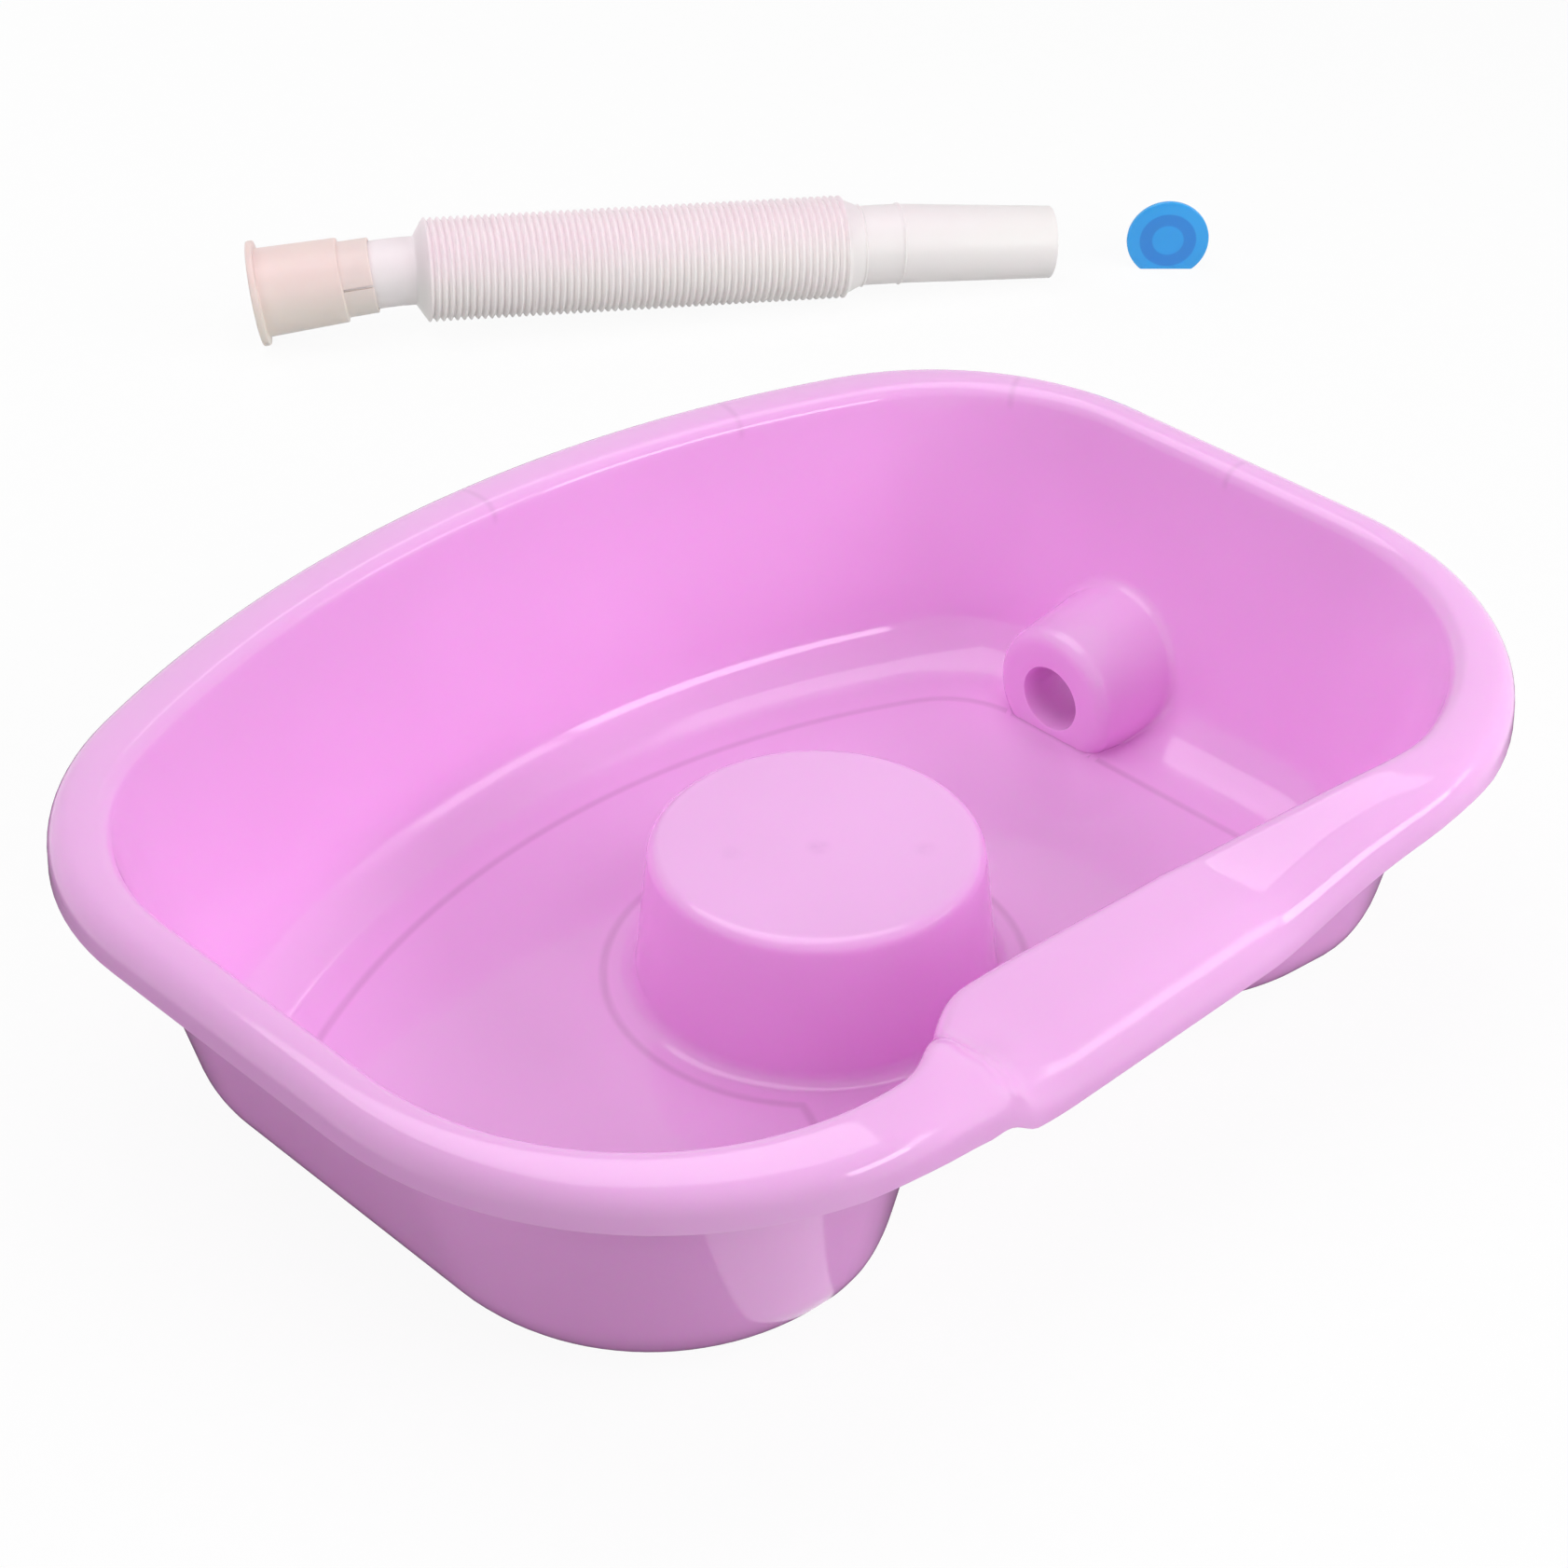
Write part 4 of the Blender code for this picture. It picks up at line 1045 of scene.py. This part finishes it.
def hose_tree():
    # Sweeps a ring along the hose's route, swells it into ribs and adds a thin ring at each end of the cuff.
    tree, given = sweep_tree("Ribbed hose", "Route", (
        ("Sample length", 0.0005), ("Rib start", 0.05), ("Rib pitch", 0.004), ("Crest radius", 0.029),
        ("Groove radius", 0.026), ("Cuff start", 0.29), ("Cuff end", 0.31), ("Ring width", CUFF_RING_WIDTH),
        ("Ring height", CUFF_RING_HEIGHT)), (("Rib count", 62), ("Sides", HOSE_SIDES)))
    nodes = tree.nodes
    link = tree.links.new

    def calc(operation, *values):
        return math_node(tree, operation, *values)

    sample = nodes.new("GeometryNodeResampleCurve")
    sample.mode = "LENGTH"
    link(given["Route"], sample.inputs["Curve"])
    link(given["Sample length"], sample.inputs["Length"])
    way = nodes.new("GeometryNodeSplineParameter").outputs["Length"]
    own = nodes.new("GeometryNodeInputRadius").outputs["Radius"]
    along = calc("DIVIDE", calc("SUBTRACT", way, given["Rib start"]), given["Rib pitch"])
    wave = calc("MULTIPLY", calc("PINGPONG", along, 0.5), 2.0)
    soft = calc("MULTIPLY", calc("MULTIPLY", wave, wave), calc("SUBTRACT", 3.0, calc("MULTIPLY", wave, 2.0)))
    shape = calc("ADD", calc("MULTIPLY", soft, RIB_ROUNDNESS), calc("MULTIPLY", wave, 1.0 - RIB_ROUNDNESS))
    swell = calc("MULTIPLY", shape, calc("SUBTRACT", given["Crest radius"], given["Groove radius"]))
    ribbed = calc("ADD", given["Groove radius"], swell)
    inside = calc("MULTIPLY", calc("GREATER_THAN", along, 0.0), calc("LESS_THAN", along, given["Rib count"]))
    ring_half = calc("MULTIPLY", given["Ring width"], 0.5)
    plain = own
    for name in ("Cuff start", "Cuff end"):
        gap = calc("ABSOLUTE", calc("SUBTRACT", way, given[name]))
        near = calc("MAXIMUM", calc("SUBTRACT", 1.0, calc("DIVIDE", gap, ring_half)), 0.0)
        plain = calc("ADD", plain, calc("MULTIPLY", near, given["Ring height"]))
    radius = calc("ADD", calc("MULTIPLY", ribbed, inside), calc("MULTIPLY", plain, calc("SUBTRACT", 1.0, inside)))
    ring = nodes.new("GeometryNodeCurvePrimitiveCircle")
    ring.inputs["Radius"].default_value = 1.0
    link(given["Sides"], ring.inputs["Resolution"])
    return finish_sweep(tree, given, sample.outputs["Curve"], ring.outputs["Curve"], radius)


def close_wall(obj, stations):
    # Adds the hose's smooth bore inside its skin, and joins the two at both ends.
    work = bmesh.new()
    work.from_mesh(obj.data)
    bmesh.ops.remove_doubles(work, verts=work.verts, dist=WELD_GAP)
    start = stations[0][0]

    def end_of(edge):
        return 0 if ((edge.verts[0].co + edge.verts[1].co) / 2 - start).length < END_REACH else 1

    loops = ([], [])
    for edge in work.edges:
        if edge.is_boundary:
            loops[end_of(edge)].append(edge)
    rings = []
    for index, (point, radius, bore) in enumerate(stations):
        before = stations[max(0, index - 1)][0]
        after = stations[min(len(stations) - 1, index + 1)][0]
        way = (after - before).normalized()
        side = way.cross(Vector((0.0, 0.0, 1.0))).normalized()
        up = side.cross(way).normalized()
        ring = []
        for step in range(HOSE_SIDES):
            angle = 2 * math.pi * step / HOSE_SIDES
            ring.append(work.verts.new(point + side * (bore * math.cos(angle)) + up * (bore * math.sin(angle))))
        rings.append(ring)
    made = []
    for first, second in zip(rings, rings[1:]):
        for step in range(HOSE_SIDES):
            after = (step + 1) % HOSE_SIDES
            made.append(work.faces.new((first[step], second[step], second[after], first[after])))
    work.edges.index_update()
    inner_loops = ([], [])
    for edge in {edge for face in made for edge in face.edges}:
        if edge.is_boundary:
            inner_loops[end_of(edge)].append(edge)
    for outer, inner in zip(loops, inner_loops):
        bmesh.ops.bridge_loops(work, edges=outer + inner)
    bmesh.ops.recalc_face_normals(work, faces=work.faces)
    work.to_mesh(obj.data)
    work.free()


class BASIN_OT_make_stage(bpy.types.Operator):
    """Makes the floor, the soft lights and the camera"""
    bl_idname = "basin.make_stage"
    bl_label = "Make stage"

    def execute(self, context):
        stage = context.scene.basin_stage
        self.floor()
        self.world(context.scene)
        for name, spot, target, size, power, mirrored in LAMPS:
            self.softbox(name, spot, target, size, getattr(stage, power)).visible_glossy = mirrored
        self.camera(context.scene)
        context.scene.view_settings.view_transform = "Standard"
        return {"FINISHED"}

    def floor(self):
        reach = FLOOR_REACH
        floor = mesh_piece("floor", [(-reach, -reach, 0), (reach, -reach, 0), (reach, reach, 0), (-reach, reach, 0)],
                           [(0, 1, 2, 3)])
        material = bpy.data.materials.new("floor_paper")
        material.use_nodes = True
        tree = material.node_tree
        tree.nodes.clear()
        diffuse = tree.nodes.new("ShaderNodeBsdfDiffuse")
        grain = range_node(tree, noise_node(tree, object_coordinates(tree), 90.0, 2.0), 0.3, 0.7, 0.0, 1.0)
        tone = mix_colour(tree, grain, *PAPER_TONES)
        rays = tree.nodes.new("ShaderNodeLightPath").outputs
        # Glossy rays see the paper dark, as painted shade, and glowing where painted light lies on it.
        bounce = mix_colour(tree, rays["Is Glossy Ray"], PAPER_BOUNCE, PAPER_MIRRORED_SHADE)
        tree.links.new(mix_colour(tree, rays["Is Camera Ray"], bounce, tone), diffuse.inputs["Color"])
        white = tree.nodes.new("ShaderNodeEmission")
        # The paper glows white for the camera, and glows as painted light for glossy rays where the patch lies.
        seen = math_node(tree, "MULTIPLY", rays["Is Camera Ray"], PAPER_GLOW)
        mirrored = math_node(tree, "MULTIPLY", rays["Is Glossy Ray"], self.painted_mirror_light(tree))
        self.output(tree, math_node(tree, "ADD", seen, mirrored), diffuse, white, "ShaderNodeOutputMaterial")
        floor.data.materials.append(material)

    def output(self, tree, share, first, second, kind):
        # Mixes two shaders into the tree's output.
        both = tree.nodes.new("ShaderNodeMixShader")
        for socket, value in zip(both.inputs, (share, first.outputs[0], second.outputs[0])):
            tree.links.new(value, socket)
        tree.links.new(both.outputs[0], tree.nodes.new(kind).inputs["Surface"])

    def painted_mirror_light(self, tree):
        # Painted light for the glossy outer wall to mirror: the paper glows beyond a slanted painted shadow edge and
        # away from the basin.
        place = split_node(tree, object_coordinates(tree))
        x, y = place["X"], place["Y"]
        left = range_node(tree, x, PAPER_EDGE_X - PAPER_BLUR, PAPER_EDGE_X + PAPER_BLUR, 1.0, 0.0)
        slant = math_node(tree, "SUBTRACT", y, math_node(tree, "MULTIPLY", x, PAPER_SLOPE))
        front = range_node(tree, slant, PAPER_FRONT - PAPER_BLUR, PAPER_FRONT + PAPER_BLUR, 1.0, 0.0)
        squares = (math_node(tree, "MULTIPLY", way, way) for way in (x, y))
        away = math_node(tree, "SQRT", math_node(tree, "ADD", *squares))
        far = range_node(tree, away, PAPER_FAR, PAPER_FAR * 1.4, 0.0, 1.0)
        return math_node(tree, "MAXIMUM", math_node(tree, "MULTIPLY", left, front), far)

    def world(self, scene):
        # White where the camera or a mirror looks past the floor, and dim for all other rays.
        world = bpy.data.worlds.new("studio")
        scene.world = world
        world.use_nodes = True
        tree = world.node_tree
        tree.nodes.clear()
        dim = tree.nodes.new("ShaderNodeBackground")
        dim.inputs["Strength"].default_value = WORLD_STRENGTH
        white = tree.nodes.new("ShaderNodeBackground")
        white.inputs["Color"].default_value = (1.0, 1.0, 1.0, 1.0)
        rays = tree.nodes.new("ShaderNodeLightPath").outputs
        seen = math_node(tree, "MAXIMUM", rays["Is Camera Ray"], rays["Is Glossy Ray"])
        self.output(tree, seen, dim, white, "ShaderNodeOutputWorld")

    def softbox(self, name, spot, target, size, power):
        light = bpy.data.lights.new(name, "AREA")
        light.shape = "RECTANGLE"
        light.size, light.size_y = size
        light.energy = power
        obj = new_object(name, light)
        self.aim(obj, Vector(spot), Vector(target) - Vector(spot))
        return obj

    def aim(self, obj, spot, way):
        obj.matrix_world = Matrix.Translation(spot) @ way.to_track_quat("-Z", "Y").to_matrix().to_4x4()

    def camera(self, scene):
        camera = bpy.data.cameras.new("photo_view")
        camera.lens = CAMERA_LENS
        camera.sensor_width = 36.0
        camera.clip_start = 0.05
        camera.clip_end = 30.0
        obj = new_object("photo_view", camera)
        flat = math.cos(CAMERA_ELEVATION)
        back = Vector((math.sin(CAMERA_AZIMUTH) * flat, -math.cos(CAMERA_AZIMUTH) * flat, math.sin(CAMERA_ELEVATION)))
        self.aim(obj, CAMERA_TARGET + back * CAMERA_DISTANCE, -back)
        scene.camera = obj


class BASIN_OT_make_connector(bpy.types.Operator):
    """Makes the hose connector with its flange, socket and slotted collar"""
    bl_idname = "basin.make_connector"
    bl_label = "Make connector"

    def execute(self, context):
        grip = NECK_RADIUS + FIT_GAP
        step_in = CONNECTOR_LENGTH - NECK_INSERT - FIT_GAP
        profile = [
            (COLLAR_RADIUS, CONNECTOR_LENGTH),
            (COLLAR_RADIUS + COLLAR_DRAFT, BODY_END),
            (BODY_END_RADIUS + BODY_END_STEP, BODY_END),
            (MOUTH_RADIUS, FLANGE_THICKNESS),
            (FLANGE_RADIUS, FLANGE_THICKNESS),
            (FLANGE_RADIUS, 0.0),
            (SOCKET_RADIUS, 0.0),
            (SOCKET_RADIUS, SOCKET_DEPTH),
            (NECK_BORE, SOCKET_DEPTH),
            (NECK_BORE, step_in),
            (grip, step_in),
            (grip, CONNECTOR_LENGTH),
        ]
        obj = turned_piece("connector_moulding", rounded(profile, CONNECTOR_CORNER), TURNED_STEPS)
        slot = box_piece("slot", (NECK_BORE / 2, -SLOT_WIDTH / 2, CONNECTOR_LENGTH - SLOT_LENGTH),
                         (FLANGE_RADIUS, SLOT_WIDTH / 2, CONNECTOR_LENGTH * 1.05))
        points, heading = neck_points()
        mouth = points[-1] + heading * (step_in + FIT_GAP)
        lay = Matrix.Rotation(math.pi / 2, 4, "Y") @ Matrix.Rotation(SLOT_ANGLE, 4, "Z")
        place = neck_matrix() @ Matrix.Translation(mouth) @ Matrix.Rotation(-NECK_BEND, 4, "Z") @ lay
        obj.matrix_world = place
        slot.matrix_world = place
        combine(obj, slot, "DIFFERENCE")
        finish = context.scene.basin_finishes.connector
        smooth_look(obj, milky_material("connector_plastic", finish, CONNECTOR_LOOK))
        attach(obj, "hose_head")
        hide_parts("hose_connector")
        return {"FINISHED"}


class BASIN_OT_make_hose(bpy.types.Operator):
    """Makes the drain hose: neck, ribs, cuff and sleeve in one moulding"""
    bl_idname = "basin.make_hose"
    bl_label = "Make hose"

    def execute(self, context):
        sizes = context.scene.hose_sizes
        stations = hose_route()
        route = [point for point, radius, bore in stations]
        lengths = [0.0]
        for first, second in zip(route, route[1:]):
            lengths.append(lengths[-1] + (second - first).length)
        bellows_start, bellows_end, cuff_start, cuff_end, tip = lengths[-5:]
        pitch = BELLOWS_LENGTH / sizes.rib_count
        material = milky_material("hose_plastic", context.scene.basin_finishes.hose, HOSE_LOOK)
        obj = run_tree(path_curve("route", route, [radius for point, radius, bore in stations]), hose_tree(), {
            "Sample length": pitch / SAMPLES_PER_RIB,
            "Rib start": bellows_start,
            "Rib pitch": pitch,
            "Crest radius": sizes.crest,
            "Groove radius": sizes.root,
            "Rib count": sizes.rib_count,
            "Cuff start": cuff_start,
            "Cuff end": cuff_end,
            "Ring width": CUFF_RING_WIDTH,
            "Ring height": CUFF_RING_HEIGHT,
            "Sides": HOSE_SIDES,
            "Material": material,
        })
        obj.name = "drain_hose"
        close_wall(obj, stations)
        smooth_look(obj, material)
        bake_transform(obj)
        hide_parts("hose_neck", "hose_bellows", "hose_tail")
        self.dense(route)
        return {"FINISHED"}

    def dense(self, points):
        # The route with points no further apart than the cord's path may have.
        found = [points[0]]
        for first, second in zip(points, points[1:]):
            count = max(1, int((second - first).length / PATH_STEP))
            found += [first.lerp(second, step / count) for step in range(1, count + 1)]
        return [tuple(point) for point in found]


class BASIN_OT_make_stopper(bpy.types.Operator):
    """Makes the blue stopper, standing on its flat"""
    bl_idname = "basin.make_stopper"
    bl_label = "Make stopper"

    def execute(self, context):
        radius = context.scene.stopper_sizes.flange
        back = -STOPPER_THICKNESS
        tip = back - PLUG_LENGTH
        profile = [
            (0.0, 0.0),
            (radius, 0.0),
            (radius, back),
            (PLUG_ROOT, back),
            (PLUG_TIP, tip),
            (PLUG_CORE, tip),
            (PLUG_CORE - PLUG_HOLLOW_DRAFT, back - PLUG_HOLLOW_END),
            (0.0, back - PLUG_HOLLOW_END),
        ]
        obj = turned_piece("stopper_moulding", rounded(profile, STOPPER_CORNER), TURNED_STEPS)
        wide = radius * 2
        flat = box_piece("flat", (STOPPER_FLAT, -wide, tip * 2), (wide, wide, radius))
        place = stopper_frame()
        obj.matrix_world = place
        flat.matrix_world = place
        combine(obj, flat, "DIFFERENCE")
        back_place = place.inverted()
        local = [back_place @ vertex.co for vertex in obj.data.vertices]
        store_float(obj.data, "plug_radius", [math.hypot(point.x, point.y) for point in local])
        smooth_look(obj, stopper_material(context.scene.basin_finishes.stopper))
        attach(obj, "stopper")
        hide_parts("stopper")
        return {"FINISHED"}


class BASIN_OT_make_basin(bpy.types.Operator):
    """Makes the moulded basin: floor, pedestal, wall, rolled rim, neck rest, drain boss and foot rib"""
    bl_idname = "basin.make_basin"
    bl_label = "Make basin"

    def execute(self, context):
        sizes = context.scene.basin_sizes
        material = basin_material(context.scene.basin_finishes.basin)
        wall = sizes.wall
        obj = stacked("basin_moulding", basin_rows(sizes))
        shell = obj.modifiers.new("Wall", "SOLIDIFY")
        shell.thickness = wall
        shell.offset = -1.0
        shell.use_even_offset = True
        shell.use_quality_normals = True
        settle(obj)
        combine(obj, self.rib(material), "UNION")
        combine(obj, boss_body(sizes), "UNION")
        combine(obj, self.pocket(wall), "DIFFERENCE")
        combine(obj, self.spigot(wall), "UNION")
        combine(obj, self.bore(wall), "DIFFERENCE")
        refine_rib_band(obj)
        store_float(obj.data, "rib_distance", rib_distances(obj.data))
        obj.data.transform(Matrix.Translation((0.0, PEDESTAL_Y, FLOOR_Z)))
        smooth_look(obj, material)
        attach(obj, "basin")
        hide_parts("basin")
        return {"FINISHED"}

    def rib(self, material):
        height = FLOOR_Z - RIB_SINK
        middle = -RIB_SINK - height / 2
        route = path_curve("rib_route", [(x, y, middle) for x, y in rib_path()], cyclic=True)
        made = run_tree(route, foot_rib_tree(), {"Width": RIB_WIDTH, "Height": height, "Material": material})
        cleaned(made.data)
        return made

    def pocket(self, wall):
        # The hollow behind the boss, one wall inside its face and its side.
        deep = BOSS_DEPTH + wall
        edge = arc_points((BOSS_FACE - BOSS_EDGE, -BOSS_EDGE), BOSS_EDGE - wall, math.pi / 2, 0.0, POCKET_STEPS)
        profile = [(0.0, -wall)] + edge + [(BOSS_BASE - wall, -deep), (0.0, -deep)]
        return at_boss("pocket", profile, TURNED_STEPS)

    def spigot(self, wall):
        tip = -SPIGOT_LENGTH
        profile = [(0.0, -wall / 2), (SPIGOT_RADIUS, -wall / 2), (SPIGOT_RADIUS, tip + LIP),
                   (SPIGOT_RADIUS - LIP, tip), (0.0, tip)]
        return at_boss("spigot", profile, BORE_SIDES)

    def bore(self, wall):
        mouth = DRAIN_BORE + BORE_FLARE
        tip = -SPIGOT_LENGTH - wall
        profile = [(0.0, wall), (mouth + wall, wall), (mouth, 0.0), (DRAIN_BORE + BORE_FLARE * 0.3, -BORE_FLARE * 0.3),
                   (DRAIN_BORE, -BORE_FLARE), (DRAIN_BORE, tip), (0.0, tip)]
        return at_boss("bore", profile, BORE_SIDES)


class BASIN_PT_panel(bpy.types.Panel):
    """Lists the steps that build the basin"""
    bl_idname = "BASIN_PT_panel"
    bl_label = "Shampoo basin"
    bl_space_type = "VIEW_3D"
    bl_region_type = "UI"
    bl_category = "Basin"

    def draw(self, context):
        scene = context.scene
        for group in (scene.basin_sizes, scene.hose_sizes, scene.stopper_sizes, scene.basin_finishes,
                      scene.basin_stage):
            box = self.layout.box()
            for name in group.__annotations__:
                box.prop(group, name)
        for step in STEPS:
            self.layout.operator(step.bl_idname)


STEPS = (BASIN_OT_make_stage, BASIN_OT_make_connector, BASIN_OT_make_hose, BASIN_OT_make_stopper, BASIN_OT_make_basin)
GROUPS = (("basin_sizes", BasinSizes), ("hose_sizes", HoseSizes), ("stopper_sizes", StopperSizes),
          ("basin_finishes", Finishes), ("basin_stage", StageSettings))


def register():
    for name, group in GROUPS:
        bpy.utils.register_class(group)
        setattr(bpy.types.Scene, name, PointerProperty(type=group))
    for step in STEPS:
        bpy.utils.register_class(step)
    bpy.utils.register_class(BASIN_PT_panel)


def unregister():
    bpy.utils.unregister_class(BASIN_PT_panel)
    for step in reversed(STEPS):
        bpy.utils.unregister_class(step)
    for name, group in reversed(GROUPS):
        delattr(bpy.types.Scene, name)
        bpy.utils.unregister_class(group)


def main():
    register()
    bpy.ops.basin.make_stage()
    bpy.ops.basin.make_connector()
    bpy.ops.basin.make_hose()
    bpy.ops.basin.make_stopper()
    bpy.ops.basin.make_basin()


if __name__ == "__main__":
    main()
